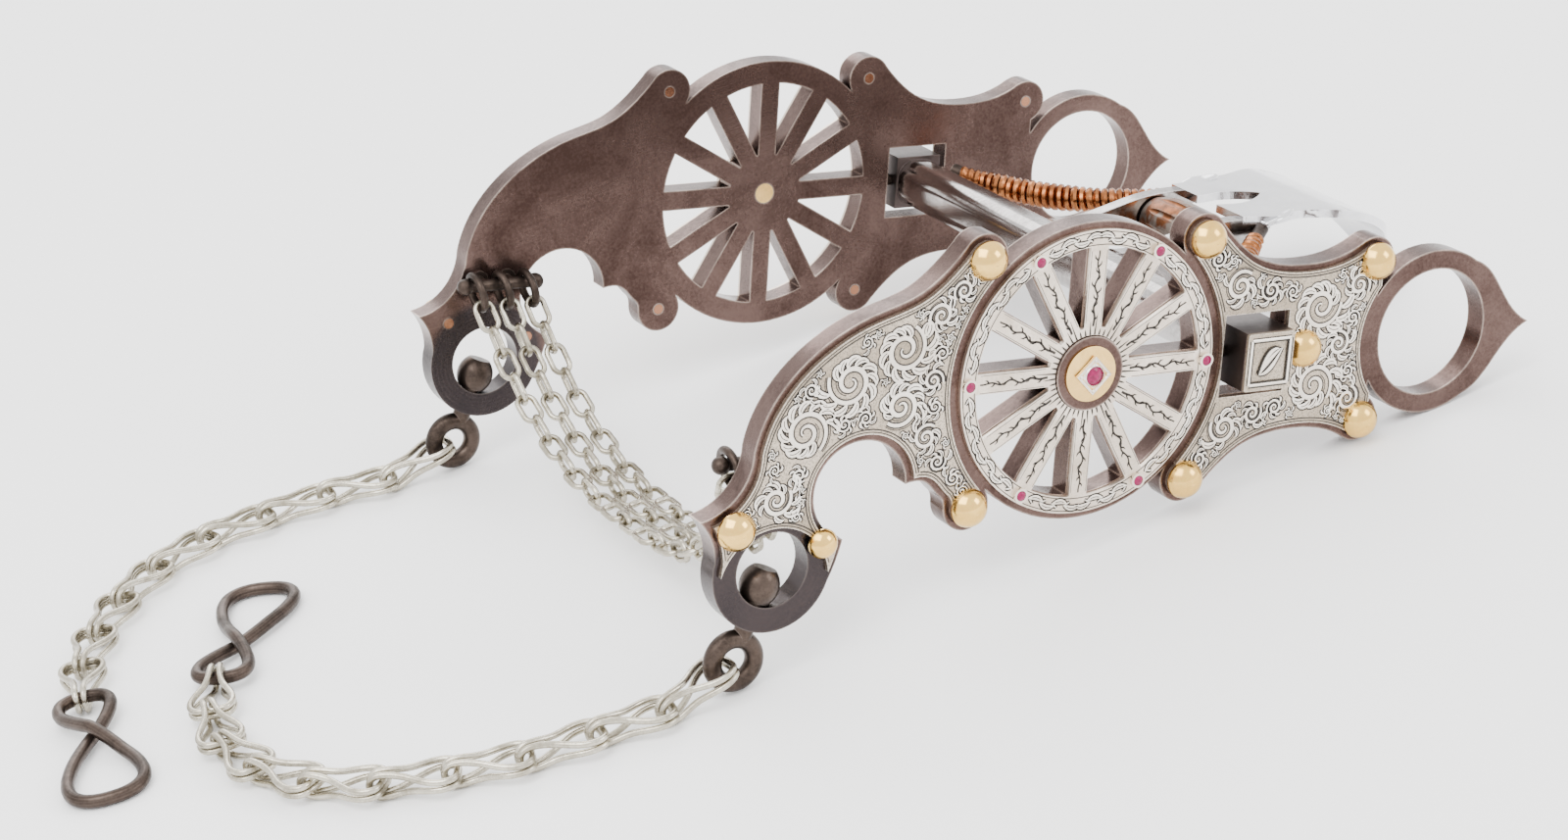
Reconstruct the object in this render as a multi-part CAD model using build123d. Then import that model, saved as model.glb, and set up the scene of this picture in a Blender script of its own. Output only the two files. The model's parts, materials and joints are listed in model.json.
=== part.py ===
"""Curb bit with loose cheeks, spade mouthpiece, rein chains and a curb chain. All sizes in millimetres.

Pieces are drawn in the bit's own axes: u along the cheeks towards the headstall rings, v across the
cheeks on the side away from the rein rings, w along the mouthpiece from its middle to the left cheek.
REST then lays the bit down as it lies on a table, on its rein swivels and headstall rings, with +Z up
and the origin at the middle of the mouth bar.
"""
import os
from math import acos, asin, atan2, cos, degrees, hypot, radians, sin

from build123d import *

# overall
MOUTH_WIDTH = 127.0         # between the inner faces of the cheeks
BAR_U = 39.0                # mouth bar's distance from the wheel hub

# cheek plate
PLATE_T = 5.0
SILVER_T = 1.0
SILVER_INSET = 1.3
WHEEL_R = 30.2
RIM_IN_R = 25.2
SPOKES = 12
SPOKE_W = 4.4
HUB_R = 7.5
HUB_PROUD = 0.4
SILVER_RIM_R = 28.8
GROOVE_R = 31.2
LOBE_R = 5.0
LOBE_AT = (25.0, 24.7)
END_LOBE_R = 4.8
END_LOBE_AT = (67.0, 16.7)
HEAD_RING_U = 83.7
HEAD_RING_R = 13.3
HEAD_RING_OUT_R = 17.3
TIP_U = 108.8
REIN_RING_AT = (-66.7, -32.5)
REIN_RING_R = 7.6
REIN_RING_OUT_R = 12.6
SHANK_EYE_AT = (-48.8, -18.6)
SHANK_EYE_R = 9.9

# rivets, hub and stones
STUD_R = 3.9
STUD_H = 3.5
SMALL_STUD_R = 3.0
STEM_R = 1.1
STEM_GAP = 0.05
GOLD_DISC_R = 5.6
GOLD_DISC_H = 1.0
STAR_R = 3.7
HUB_STONE_R = 2.1
RIM_STONE_AT_R = 27.1
RIM_STONE_R = 1.05
COLLET_WALL = 0.45

# mouthpiece
BAR_W = 10.4
BAR_CORNER_R = 4.0
TENON = (11.1, 11.9)        # along u, along v
TENON_PLAY = (1.8, 2.2)     # gap to the cheek's window each side
TENON_PROUD = 4.4
CAP_T = 0.9
JAW_PIN_R = 1.2
PIN_GAP = 0.05
JAW_PIN_HOLD = (3.4, 2.0)   # how far the pin enters the cheek, wheel side and ring side
JAW_SWING = 8.0
ARM_W = 3.2                 # port arm thickness
ARM_AT_W = 12.0             # port arm distance from the middle
ROLLER_AT = (69.0, 3.4)
ROLLER_R = 6.2
ROLLER_END_R = 5.0
ROLLER_GAP = 0.6
ROLLER_PIN_R = 1.5
FLUTES = 10
SPOON_T = 1.8
BRACE_R = 1.5
WINDING_R = (1.9, 2.9, 3.1, 2.7, 2.1)

# swivels, hooks and chains
EYE_R = 4.45                # to the middle of the wire
EYE_WIRE_R = 1.85
EYE_AT = 19.4               # from the middle of the rein ring
SWIVEL_SHANK_R = 1.9
KNOB_R = 3.9
KNOB = (0.4, 7.0)           # from the middle of the rein ring
LINK_PITCH = 14.0
LINK_WIRE_R = 0.6
LINK_LAYER = 0.66           # middle of the link to the middle of each layer's wire
LINK_WIDE = (4.8, 3.9)      # half width before bending, bend radius
LINK_FOLD = (2.35, 2.05)    # half height before bending, bend radius
LINK_FOLD_HALF = 0.7
LEFT_HEADINGS = (188, 173, 174, 160, 154, 136, 117, 98, 80, 64)
RIGHT_HEADINGS = (180, 166, 176, 181, 199, 216, 229, 238, 250)
HOOK_WIRE_R = 1.3
HOOK_SMALL = (17.0, 11.0)   # to the middle of the wire
HOOK_LARGE = (25.0, 15.0)
HOOK_LAP = 2.0              # the two loops' wires cross by this much
LEFT_HOOK_HEADING = 55
RIGHT_HOOK_HEADING = 259

RACK_AT = (-65.7, -14.0)
RACK_STANDOFF = 4.3
RACK_R = 1.3
RACK_POST_HALF = 3.2
RACK_HALF = 8.2
RACK_RING_R = 3.7
RACK_RING_WIRE_R = 0.85
RACK_RING_HANG = 1.4        # ring centre to rail axis
STRAND_GAP = 6.0
CURB_WIRE_R = 0.6
CURB_EYE_R = 1.9
CURB_SLOPES = (58, 50, 34, 22, 9, 1)
CURB_GAP = 0.9              # open joint in the middle of the curb chain
CURB_CLEAR = 0.25

# derived places
W_IN = MOUTH_WIDTH / 2
W_STEEL = W_IN + PLATE_T
W_OUT = W_STEEL + SILVER_T
W_MID = W_IN + PLATE_T / 2
WINDOW = (TENON[0] + 2 * TENON_PLAY[0], TENON[1] + 2 * TENON_PLAY[1])
EYE_DIR = Vector(-0.299, -0.954, 0)
EYE_UV = (REIN_RING_AT[0] + EYE_AT * EYE_DIR.X, REIN_RING_AT[1] + EYE_AT * EYE_DIR.Y)


def rest_tilt():
    """Tilt that puts the swivel eyes and the headstall rings on one flat surface."""
    du = HEAD_RING_U - EYE_UV[0]
    dv = EYE_UV[1]
    return atan2(du, dv) - acos((EYE_R + EYE_WIRE_R - HEAD_RING_OUT_R) / hypot(du, dv))


TILT = rest_tilt()
TABLE_Z = -(HEAD_RING_U - BAR_U) * sin(TILT) - HEAD_RING_OUT_R
U_DIR = Vector(cos(TILT), 0, -sin(TILT))
V_DIR = Vector(sin(TILT), 0, cos(TILT))
REST = Location(Plane(origin=U_DIR * -BAR_U, x_dir=U_DIR, z_dir=(0, -1, 0)))


def to_row(u, v, w):
    """A point of the bit in the part's own frame."""
    return U_DIR * (u - BAR_U) + V_DIR * v + Vector(0, -w, 0)


def flat(face, low, high):
    """A plate with this outline between two places along w."""
    return extrude(Pos(0, 0, low) * face, amount=high - low)


def both_sides(shape):
    return [shape, mirror(shape, about=Plane.XY)]


def mirrored_v(points):
    return [(u, -v) for u, v in reversed(points)]


def moved_in(points, inset):
    """Points of an edge moved square to the edge, to the side of negative v where it runs level."""
    moved = []
    for i, (u, v) in enumerate(points):
        before, after = points[max(i - 1, 0)], points[min(i + 1, len(points) - 1)]
        du, dv = after[0] - before[0], after[1] - before[1]
        side = inset / hypot(du, dv) * (1 if du > 0 else -1)
        moved.append((u + dv * side, v - du * side))
    return moved


# ---- cheek outlines -------------------------------------------------------------------------------

def lobes(radius, end_radius):
    u, v = LOBE_AT
    eu, ev = END_LOBE_AT
    near = [Pos(a * u, b * v) * Circle(radius) for a in (1, -1) for b in (1, -1)]
    return near, [Pos(eu, b * ev) * Circle(end_radius) for b in (1, -1)]


def purchase_face(inset=0.0):
    """The arm from the wheel to the headstall ring, with its four rivet lobes."""
    edge = moved_in([(28.6, 28.1), (33.0, 23.4), (38.5, 19.5), (50.0, 17.2), (57.5, 17.9), (64.6, 20.9)], inset)
    waist = HEAD_RING_U - HEAD_RING_R - 1.5
    path = [Spline(*edge), Polyline(edge[-1], (waist, 13.0), (waist, -13.0), (edge[-1][0], -edge[-1][1])),
            Spline(*mirrored_v(edge)), Polyline((edge[0][0], -edge[0][1]), (20, -18), (20, 18), edge[0])]
    near, ends = lobes(LOBE_R - inset, END_LOBE_R - inset)
    return make_face(Curve() + path) + near[0] + near[1] + ends[0] + ends[1]


def headstall_ring_face():
    """Ring with its pointed tip; its hole is cut later."""
    side = [(93.5, 14.3), (98.0, 11.2), (101.2, 7.0), (104.4, 3.1), (TIP_U, 0)]
    tip = make_face(Curve() + [Spline(*side), Spline(*mirrored_v(side)),
                               Polyline((side[0][0], -side[0][1]), (HEAD_RING_U, 0), side[0])])
    return Pos(HEAD_RING_U, 0) * Circle(HEAD_RING_OUT_R) + tip


def shank_face(inset=0.0):
    """The arm from the wheel to the rein ring, with its C-shaped opening and two horns."""
    def corner(u, v, du=0.0, dv=0.0):
        return (u + du * inset, v + dv * inset)

    back = moved_in([(-28.6, 28.1), (-32.0, 24.3), (-38.6, 19.1), (-48.6, 15.7), (-58.6, 10.7), (-67.5, 2.1),
                     (-72.0, -8.6)], inset)
    horn = corner(-82.5, -21.2, 1.9, -0.7)
    ring_back = corner(-79.0, -31.0, 1.0, 0.1)
    ring_front = corner(-55.2, -37.3, -1.0, 0.3)
    spur = corner(-51.9, -28.2, -1.2, -0.4)
    cu, cv = SHANK_EYE_AT
    radius = SHANK_EYE_R + inset
    eye_end = corner(cu + SHANK_EYE_R, cv, 1.0, 1.0)
    lobe_end = corner(-30.0, -25.0, 1.0, 0.0)
    path = [
        Spline(*back),
        ThreePointArc(back[-1], corner(-75.4, -17.3, 1.0, -0.7), horn),
        ThreePointArc(horn, corner(-79.9, -25.2, 1.0), ring_back),
        Polyline(ring_back, REIN_RING_AT, ring_front),
        ThreePointArc(ring_front, corner(-53.3, -33.0, -1.0, 0.2), spur),
        ThreePointArc(spur, (cu - radius * 0.87, cv + radius * 0.5), eye_end),
        Spline(eye_end, corner(-34.3, -18.9, 0.3, 0.9), corner(-31.6, -21.6, 0.9, 0.4), lobe_end,
               tangents=[(1, 0.25), (0, -1)]),
        Polyline(lobe_end, (-20, -20), (-20, 20), back[0]),
    ]
    near, _ = lobes(LOBE_R - inset, END_LOBE_R - inset)
    ring = Pos(*REIN_RING_AT) * Circle(REIN_RING_OUT_R - inset)
    return make_face(Curve() + path) + near[2] + near[3] + ring


def wheel_windows(spoke, rim, hub):
    """The gaps between the spokes."""
    cross = Sketch() + [Rot(0, 0, 360 / SPOKES * i) * Rectangle(2 * rim, spoke) for i in range(SPOKES // 2)]
    return Circle(rim) - Circle(hub) - cross


def window_face(grow=0.0):
    return Pos(BAR_U, 0) * Rectangle(WINDOW[0] + 2 * grow, WINDOW[1] + 2 * grow)


# ---- cheek solids ---------------------------------------------------------------------------------

def stud_places():
    """Rivet centres, dome radius and whether the stem goes right through."""
    u, v = LOBE_AT
    eu, ev = END_LOBE_AT
    big = [(a * u, b * v) for a in (1, -1) for b in (1, -1)] + [(eu, ev), (eu, -ev), (-75.5, -23.3)]
    pin_side = (BAR_U + WINDOW[0] / 2 + STUD_R + 0.6, 0)
    return [(p, STUD_R, True) for p in big] + [((-56.8, -28.0), SMALL_STUD_R, True), (pin_side, STUD_R, False)]


def stem_bottom(through):
    return W_IN if through else W_MID + JAW_PIN_R + 0.4


def stem_holes(gap):
    return [Pos(*p, stem_bottom(t)) * Cylinder(STEM_R + gap, W_OUT - stem_bottom(t),
            align=(Align.CENTER, Align.CENTER, Align.MIN)) for p, _, t in stud_places()]


def jaw_pin(gap=0.0):
    """Hinge pin of the loose jaw, along u through the tenon and into the cheek on both sides."""
    low = BAR_U - WINDOW[0] / 2 - JAW_PIN_HOLD[0]
    high = BAR_U + WINDOW[0] / 2 + JAW_PIN_HOLD[1]
    end = 0.3 if gap else 0.0
    pin = Cylinder(JAW_PIN_R + gap, high - low + 2 * end)
    return Pos((low + high) / 2, 0, W_MID) * Rot(0, 90, 0) * pin


def swivel_axis():
    return Location(Plane(origin=(*REIN_RING_AT, W_MID), x_dir=(0, 0, 1), z_dir=EYE_DIR))


def cheek_plate():
    outline = Circle(WHEEL_R) + purchase_face() + headstall_ring_face() + shank_face()
    outline -= wheel_windows(SPOKE_W, RIM_IN_R, HUB_R + 1.6)
    outline -= Pos(HEAD_RING_U, 0) * Circle(HEAD_RING_R)
    outline -= Pos(*REIN_RING_AT) * Circle(REIN_RING_R)
    outline -= window_face()
    plate = flat(outline, W_IN, W_STEEL) + Pos(0, 0, W_IN) * Cylinder(
        HUB_R, PLATE_T + SILVER_T + HUB_PROUD, align=(Align.CENTER, Align.CENTER, Align.MIN))
    plate -= Pos(0, 0, W_MID) * Cylinder(STEM_R * 2 + STEM_GAP, 3 * PLATE_T)
    plate -= stem_holes(STEM_GAP)
    plate -= jaw_pin(PIN_GAP)
    plate -= swivel_axis() * Cylinder(SWIVEL_SHANK_R + PIN_GAP, 2 * REIN_RING_OUT_R,
                                      align=(Align.CENTER, Align.CENTER, Align.MIN))
    return plate


def silver(outline):
    return flat(outline, W_STEEL, W_OUT) - stem_holes(STEM_GAP)


def wheel_overlay():
    face = Circle(SILVER_RIM_R) - wheel_windows(SPOKE_W - 0.4, RIM_IN_R + 0.2, HUB_R + 1.8)
    return silver(face - Circle(HUB_R + 0.1))


def shank_overlay():
    drop = 3.0
    low = Pos(REIN_RING_AT[0], REIN_RING_AT[1] - drop) * Circle(hypot(REIN_RING_OUT_R - SILVER_INSET, drop))
    return silver(shank_face(SILVER_INSET) - low - Circle(GROOVE_R))


def purchase_overlay():
    ring_edge = HEAD_RING_OUT_R + SILVER_INSET
    face = purchase_face(SILVER_INSET) - Circle(GROOVE_R) - window_face(0.3)
    return silver(face - Pos(HEAD_RING_U, 0) * Circle(ring_edge))


def dome(radius, height, base=0.5):
    """A domed rivet head standing on z = 0: a short cylinder under a cap of a sphere."""
    rise = height - base
    ball = (radius ** 2 + rise ** 2) / (2 * rise)
    half = asin(radius / ball) / 2
    middle = (ball * sin(half), height - ball + ball * cos(half))
    side = make_face(Curve() + [Polyline((0, height), (0, 0), (radius, 0), (radius, base)),
                                ThreePointArc((radius, base), middle, (0, height))])
    return revolve(Plane.XZ * side, axis=Axis.Z)


def studs():
    parts = []
    for p, radius, through in stud_places():
        low = stem_bottom(through)
        stem = Pos(*p, low) * Cylinder(STEM_R, W_OUT - low, align=(Align.CENTER, Align.CENTER, Align.MIN))
        parts.append(Pos(*p, W_OUT) * dome(radius, STUD_H * radius / STUD_R) + stem)
    return parts


def rim_stone_places():
    return [(RIM_STONE_AT_R * cos(radians(a)), RIM_STONE_AT_R * sin(radians(a))) for a in range(0, 360, 60)]


def ruby_settings():
    """Gold hub disc with its star and stem, and the six collets on the rim."""
    hub_top = W_OUT + HUB_PROUD
    disc = Pos(0, 0, hub_top) * dome(GOLD_DISC_R, GOLD_DISC_H, 0.4)
    stem = Pos(0, 0, W_IN) * Cylinder(STEM_R * 2, hub_top - W_IN, align=(Align.CENTER, Align.CENTER, Align.MIN))
    corners = [(STAR_R * s * cos(radians(a)), STAR_R * s * sin(radians(a)))
               for a, s in zip(range(0, 360, 45), (1, 0.55) * 4)]
    star = flat(make_face(Polyline(*corners, close=True)), hub_top + 0.3, hub_top + GOLD_DISC_H + 0.5)
    seat = Pos(0, 0, hub_top + GOLD_DISC_H) * Cylinder(HUB_STONE_R, 2.0)
    hub = disc + star + stem - seat
    collets = [Pos(*p, W_OUT) * (Cylinder(RIM_STONE_R + COLLET_WALL, 0.8, align=(Align.CENTER,) * 2 + (Align.MIN,))
               - Pos(0, 0, 0.3) * Cylinder(RIM_STONE_R, 1.0, align=(Align.CENTER,) * 2 + (Align.MIN,)))
               for p in rim_stone_places()]
    return [hub, *collets]


def rubies():
    low = W_OUT + HUB_PROUD + GOLD_DISC_H - 1.0
    hub = Pos(0, 0, low) * dome(HUB_STONE_R, 2.3, 1.2)
    return [hub] + [Pos(*p, W_OUT + 0.3) * dome(RIM_STONE_R, 0.95, 0.4) for p in rim_stone_places()]


def chain_rack():
    """Rail on two posts on the cheek's inner face, which the curb chain's rings hang on."""
    u, v = RACK_AT
    w = W_IN - RACK_STANDOFF
    ball = RACK_R + 0.5
    neck = RACK_HALF - (ball ** 2 - RACK_R ** 2) ** 0.5
    end = RACK_HALF + ball
    side = make_face(Curve() + [ThreePointArc((-end, 0), (-RACK_HALF, ball), (-neck, RACK_R)),
                                Line((-neck, RACK_R), (neck, RACK_R)),
                                ThreePointArc((neck, RACK_R), (RACK_HALF, ball), (end, 0)),
                                Line((end, 0), (-end, 0))])
    rail = Pos(u, v, w) * revolve(side, axis=Axis.X)
    posts = [Pos(u + s * RACK_POST_HALF, v, w) * Cylinder(RACK_R * 0.75, RACK_STANDOFF,
             align=(Align.CENTER, Align.CENTER, Align.MIN)) for s in (1, -1)]
    feet = [Pos(u + s * RACK_POST_HALF, v, W_IN - 0.6) * Cylinder(RACK_R * 1.6, 0.6,
            align=(Align.CENTER, Align.CENTER, Align.MIN)) for s in (1, -1)]
    return rail + posts + feet


# ---- mouthpiece -----------------------------------------------------------------------------------

def mouth_bar():
    """One forging: the bar, its two tenons and the two arms of the port."""
    tenon_in = W_IN - 0.9
    bar = flat(Pos(BAR_U, 0) * RectangleRounded(BAR_W, BAR_W, BAR_CORNER_R), -tenon_in, tenon_in)
    head = Pos(BAR_U, 0) * Rectangle(*TENON)
    tenons = flat(head, tenon_in, W_OUT + TENON_PROUD) - jaw_pin(PIN_GAP)
    ru, rv = ROLLER_AT
    upper = [(BAR_U + 3.0, 4.6), (54.0, 5.6), (64.0, 8.2), (74.0, 9.3), (82.0, 8.7)]
    lower = [(82.0, 6.6), (76.0, 4.2), (72.5, 0.4), (ru, -1.4), (64.5, -0.4), (56.0, -1.8), (BAR_U + 3.0, -4.4)]
    arm = make_face(Curve() + [Spline(*upper), Line(upper[-1], lower[0]), Spline(*lower),
                               Line(lower[-1], upper[0])])
    arms = [flat(arm, s * ARM_AT_W - ARM_W / 2, s * ARM_AT_W + ARM_W / 2) for s in (1, -1)]
    bore = Pos(ru, rv, 0) * Cylinder(ROLLER_PIN_R, 2 * ARM_AT_W + 2 * ARM_W)
    return bar + both_sides(tenons) + arms - bore


def tenon_caps():
    """Silver plate with a raised border on each tenon."""
    low = W_OUT + TENON_PROUD
    plate = flat(Pos(BAR_U, 0) * RectangleRounded(*TENON, 0.6), low, low + CAP_T)
    field = flat(Pos(BAR_U, 0) * RectangleRounded(TENON[0] - 2.2, TENON[1] - 2.2, 0.4), low + CAP_T - 0.35,
                 low + CAP_T)
    return both_sides(plate - field)


def hinge_pins():
    roller_pin = Pos(*ROLLER_AT, 0) * Cylinder(ROLLER_PIN_R, 2 * ARM_AT_W + ARM_W + 0.8)
    return [*both_sides(jaw_pin()), roller_pin]


def cricket_roller():
    """Fluted barrel that turns on its pin between the port arms."""
    half = ARM_AT_W - ARM_W / 2 - ROLLER_GAP
    side = make_face(Curve() + [Polyline((ROLLER_END_R, -half), (0, -half), (0, half), (ROLLER_END_R, half)),
                                ThreePointArc((ROLLER_END_R, half), (ROLLER_R, 0), (ROLLER_END_R, -half))])
    barrel = revolve(Plane.XZ * side, axis=Axis.Z)
    flutes = [Rot(0, 0, 360 / FLUTES * i) * Pos(ROLLER_R + 0.3, 0, 0) * Cylinder(0.9, 3 * half)
              for i in range(FLUTES)]
    return Pos(*ROLLER_AT, 0) * (barrel - flutes - Cylinder(ROLLER_PIN_R + PIN_GAP, 3 * half))


def spoon():
    """Thin arched plate with a keyhole, ears at its root and a broad round end."""
    root = BAR_U + 35.5
    half = [(root, 13.6), (78.5, 14.6), (82.0, 15.9), (86.5, 15.0), (92.0, 15.8), (98.5, 17.8), (106.0, 17.3),
            (112.5, 14.2), (118.0, 8.3), (120.5, 0.0)]
    other = [(u, -w) for u, w in reversed(half)]
    side = Spline(*half, tangents=[(1, 0.1), (0, -1)])
    plan = make_face(Curve() + [side, Spline(*other, tangents=[(0, -1), (-1, 0.1)]), Line(other[-1], half[0])])
    keyhole = make_face(Curve() + [Polyline((root, 3.6), (root, -3.6), (80.0, -4.4)),
                                   ThreePointArc((80.0, -4.4), (85.2, -2.7), (88.5, 0)),
                                   ThreePointArc((88.5, 0), (85.2, 2.7), (80.0, 4.4)), Line((80.0, 4.4), (root, 3.6))])
    above = Plane(origin=(0, 40, 0), x_dir=(1, 0, 0), z_dir=(0, -1, 0))
    blank = extrude(above * (plan - keyhole), amount=80)
    top = [(root, 9.9), (82.0, 10.1), (90.0, 10.6), (98.0, 10.6), (107.0, 8.4), (113.5, 4.9), (118.5, 0.6),
           (121.0, -3.0)]
    under = [(u - SPOON_T * n, v - SPOON_T) for (u, v), n in
             zip(reversed(top), (0.7, 0.6, 0.4, 0.25, 0.05, 0, 0, 0))]
    strip = make_face(Curve() + [Spline(*top), Line(top[-1], under[0]), Spline(*under), Line(under[-1], top[0])])
    return flat(strip, -25, 25) & blank


def brace_path():
    """The left brace: from the bar beside the cheek, in one sweep to the root of the spoon."""
    return ThreePointArc((BAR_U + 5.6, 4.0, W_IN - 7.0), (59.0, 2.4, 34.5), (79.0, 7.2, ARM_AT_W + 2.6))


def brace(path, radius):
    return sweep(Plane(path @ 0, z_dir=path % 0) * Circle(radius), path=path)


def braces():
    return both_sides(brace(brace_path(), BRACE_R))


def brace_windings():
    """The wound part of each brace, as the outer shape of its turns."""
    path = brace_path().trim(0.05, 0.9)
    steps = len(WINDING_R) - 1
    rings = [Plane(path @ (i / steps), z_dir=path % (i / steps)) * Circle(r) for i, r in enumerate(WINDING_R)]
    return both_sides(sweep(rings, path=path, multisection=True) - brace(brace_path(), BRACE_R))


# ---- swivels, hooks and chains --------------------------------------------------------------------

def rein_swivel():
    """Knob inside the rein ring, shank through its wall and round eye outside."""
    low, high = KNOB
    profile = make_face(Curve() + [
        Polyline((0, EYE_AT - EYE_R), (0, low), (KNOB_R * 0.6, low)),
        ThreePointArc((KNOB_R * 0.6, low), (KNOB_R, (low + high) / 2), (KNOB_R * 0.7, high)),
        Polyline((KNOB_R * 0.7, high), (SWIVEL_SHANK_R, high), (SWIVEL_SHANK_R, EYE_AT - EYE_R),
                 (0, EYE_AT - EYE_R))])
    stem = revolve(Plane.XZ * profile, axis=Axis.Z)
    eye = Pos(0, 0, EYE_AT) * Rot(0, 90, 0) * Torus(EYE_R, EYE_WIRE_R)
    return swivel_axis() * (stem + eye)


def rein_link():
    """A long wire loop folded double: a wide round end at x = 0, the fold round x = LINK_PITCH."""
    wide, wide_bend = LINK_WIDE
    fold, fold_bend = LINK_FOLD
    tip, layer, half = LINK_PITCH + fold, LINK_LAYER, LINK_FOLD_HALF
    corners = [(0, -wide, layer), (0, wide, layer), (tip, half, fold), (tip, half, -fold),
               (0, wide, -layer), (0, -wide, -layer), (tip, -half, -fold), (tip, -half, fold)]
    bends = [wide_bend, wide_bend, fold_bend, fold_bend] * 2
    path = FilletPolyline(*corners, radius=bends, close=True)
    return sweep(Plane(path @ 0, z_dir=path % 0) * Circle(LINK_WIRE_R), path=path)


def wire_loop(length, width, radius):
    """A wire ring with straight sides, long side along x, its end at x = 0."""
    path = Pos(length / 2, 0) * SlotOverall(length, width)
    return sweep(Plane((length / 2, width / 2, 0), z_dir=(1, 0, 0)) * Circle(radius), path=path.faces()[0].outer_wire())


def rein_hook():
    """Figure-eight of heavy wire: a small loop for the chain, a large one for the rein."""
    small = wire_loop(*HOOK_SMALL, HOOK_WIRE_R)
    large = Pos(HOOK_SMALL[0] - HOOK_LAP, 0, 0) * wire_loop(*HOOK_LARGE, HOOK_WIRE_R)
    return small + large


LINK_LEVEL = TABLE_Z + LINK_FOLD[0] + LINK_WIRE_R + 0.05
EYE_START = to_row(*EYE_UV, 0) + Vector(-(EYE_R - EYE_WIRE_R) / 2, 0, 0)
FIRST_LEVEL = EYE_START.Z + 0.1


def chain_joints(side, headings):
    """Joint centres of a rein chain lying on the table; side is -1 for the left cheek, 1 for the right."""
    x, y, z = EYE_START.X, side * W_MID, FIRST_LEVEL
    points = [Vector(x, y, z)]
    for heading in headings:
        drop = z - LINK_LEVEL
        run = (LINK_PITCH ** 2 - drop ** 2) ** 0.5
        x, y, z = x + run * cos(radians(heading)), y + run * sin(radians(heading)), LINK_LEVEL
        points.append(Vector(x, y, z))
    return points


def along(start, end, up=(0, 0, 1)):
    """A place at start with x towards end."""
    x_dir = (end - start).normalized()
    z_dir = (Vector(*up) - x_dir * x_dir.dot(Vector(*up))).normalized()
    return Location(Plane(origin=start, x_dir=x_dir, z_dir=z_dir))


def rack_ring_pivot(side, strand):
    """Where the rail's axis passes through a strand's ring, in the part's frame."""
    u, v = RACK_AT
    return to_row(u + STRAND_GAP * strand, v, -side * (W_IN - RACK_STANDOFF))


def curb_points():
    """Joint centres of the right half of the middle strand, from its ring down to the open joint."""
    first = radians(CURB_SLOPES[0])
    reach = RACK_RING_HANG + RACK_RING_R - RACK_RING_WIRE_R + CURB_CLEAR / 2
    start = rack_ring_pivot(1, 0) + Vector(0, -reach * cos(first), -reach * sin(first))
    tail = 2 * CURB_WIRE_R + CURB_CLEAR / 2
    pitch = (start.Y - CURB_GAP / 2 - tail) / sum(cos(radians(s)) for s in CURB_SLOPES)
    points = [start]
    for slope in CURB_SLOPES:
        points.append(points[-1] + Vector(0, -pitch * cos(radians(slope)), -pitch * sin(radians(slope))))
    return points, pitch


def curb_link(pitch, last=False):
    """Wire bent to two eyes a quarter turn apart, which meet at its middle; the last link stays level."""
    over = CURB_WIRE_R + CURB_CLEAR / 2
    length = pitch / 2 + over + 0.3
    eye = wire_loop(length, 2 * CURB_EYE_R, CURB_WIRE_R)
    return Pos(-over, 0, 0) * eye + Pos(pitch + over, 0, 0) * Rot(0 if last else 90, 0, 180) * eye


def flip_side(shape, side):
    return shape if side > 0 else mirror(shape, about=Plane.XZ)


def strand_shift(strand):
    return U_DIR * (STRAND_GAP * strand)


def rack_rings(side):
    first = radians(CURB_SLOPES[0])
    rings = []
    for strand in (-1, 0, 1):
        centre = rack_ring_pivot(1, strand) + Vector(0, -cos(first), -sin(first)) * RACK_RING_HANG
        rings.append(Pos(*centre) * Rot(0, 90, 0) * Torus(RACK_RING_R, RACK_RING_WIRE_R))
    return [flip_side(r, side) for r in rings]


def save(name, shapes, place=REST):
    shapes = shapes if isinstance(shapes, list) else [shapes]
    solids = [place * s for shape in shapes for s in shape.solids()]
    export_step(solids[0] if len(solids) == 1 else Compound(children=solids), f"parts/{name}.step")


def main():
    os.makedirs("parts", exist_ok=True)
    cheek = {"cheek_plate": cheek_plate(), "wheel_overlay": wheel_overlay(), "shank_overlay": shank_overlay(),
             "purchase_overlay": purchase_overlay(), "studs": studs(), "ruby_settings": ruby_settings(),
             "rubies": rubies(), "chain_rack": chain_rack(), "rein_swivel": rein_swivel()}
    for name, shapes in cheek.items():
        shapes = shapes if isinstance(shapes, list) else [shapes]
        save(f"left_{name}", shapes)
        save(f"right_{name}", [mirror(s, about=Plane.XY) for s in shapes])

    bar = mouth_bar()
    save("mouth_bar", bar)
    save("tenon_caps", tenon_caps())
    save("hinge_pins", hinge_pins())
    save("cricket_roller", cricket_roller())
    save("spoon", spoon() - bar - braces())
    save("braces", [b - bar for b in braces()])
    save("brace_windings", [w - bar for w in brace_windings()])

    link = rein_link()
    hook = rein_hook()
    for side, name, headings, hook_heading in ((-1, "left", LEFT_HEADINGS, LEFT_HOOK_HEADING),
                                               (1, "right", RIGHT_HEADINGS, RIGHT_HOOK_HEADING)):
        joints = chain_joints(side, headings)
        for i, (a, b) in enumerate(zip(joints, joints[1:]), 1):
            save(f"{name}_rein_link_{i:02d}", link, along(a, b))
        length = HOOK_SMALL[0] + HOOK_LARGE[0] - HOOK_LAP
        fall = LINK_LEVEL - TABLE_Z - HOOK_WIRE_R
        far = joints[-1] + Vector(length * cos(radians(hook_heading)), length * sin(radians(hook_heading)), -fall)
        save(f"{name}_rein_hook", hook, along(joints[-1], far))

    points, pitch = curb_points()
    links = [curb_link(pitch)] * (len(CURB_SLOPES) - 1) + [curb_link(pitch, last=True)]
    for side, name in ((-1, "left"), (1, "right")):
        save(f"{name}_rack_rings", rack_rings(side), Location())
        for i, (a, b, curb) in enumerate(zip(points, points[1:], links), 1):
            row = [along(a + strand_shift(s), b + strand_shift(s)) * curb for s in (-1, 0, 1)]
            save(f"{name}_curb_chain_{i}", [flip_side(r, side) for r in row], Location())
    report(points, pitch)


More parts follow.
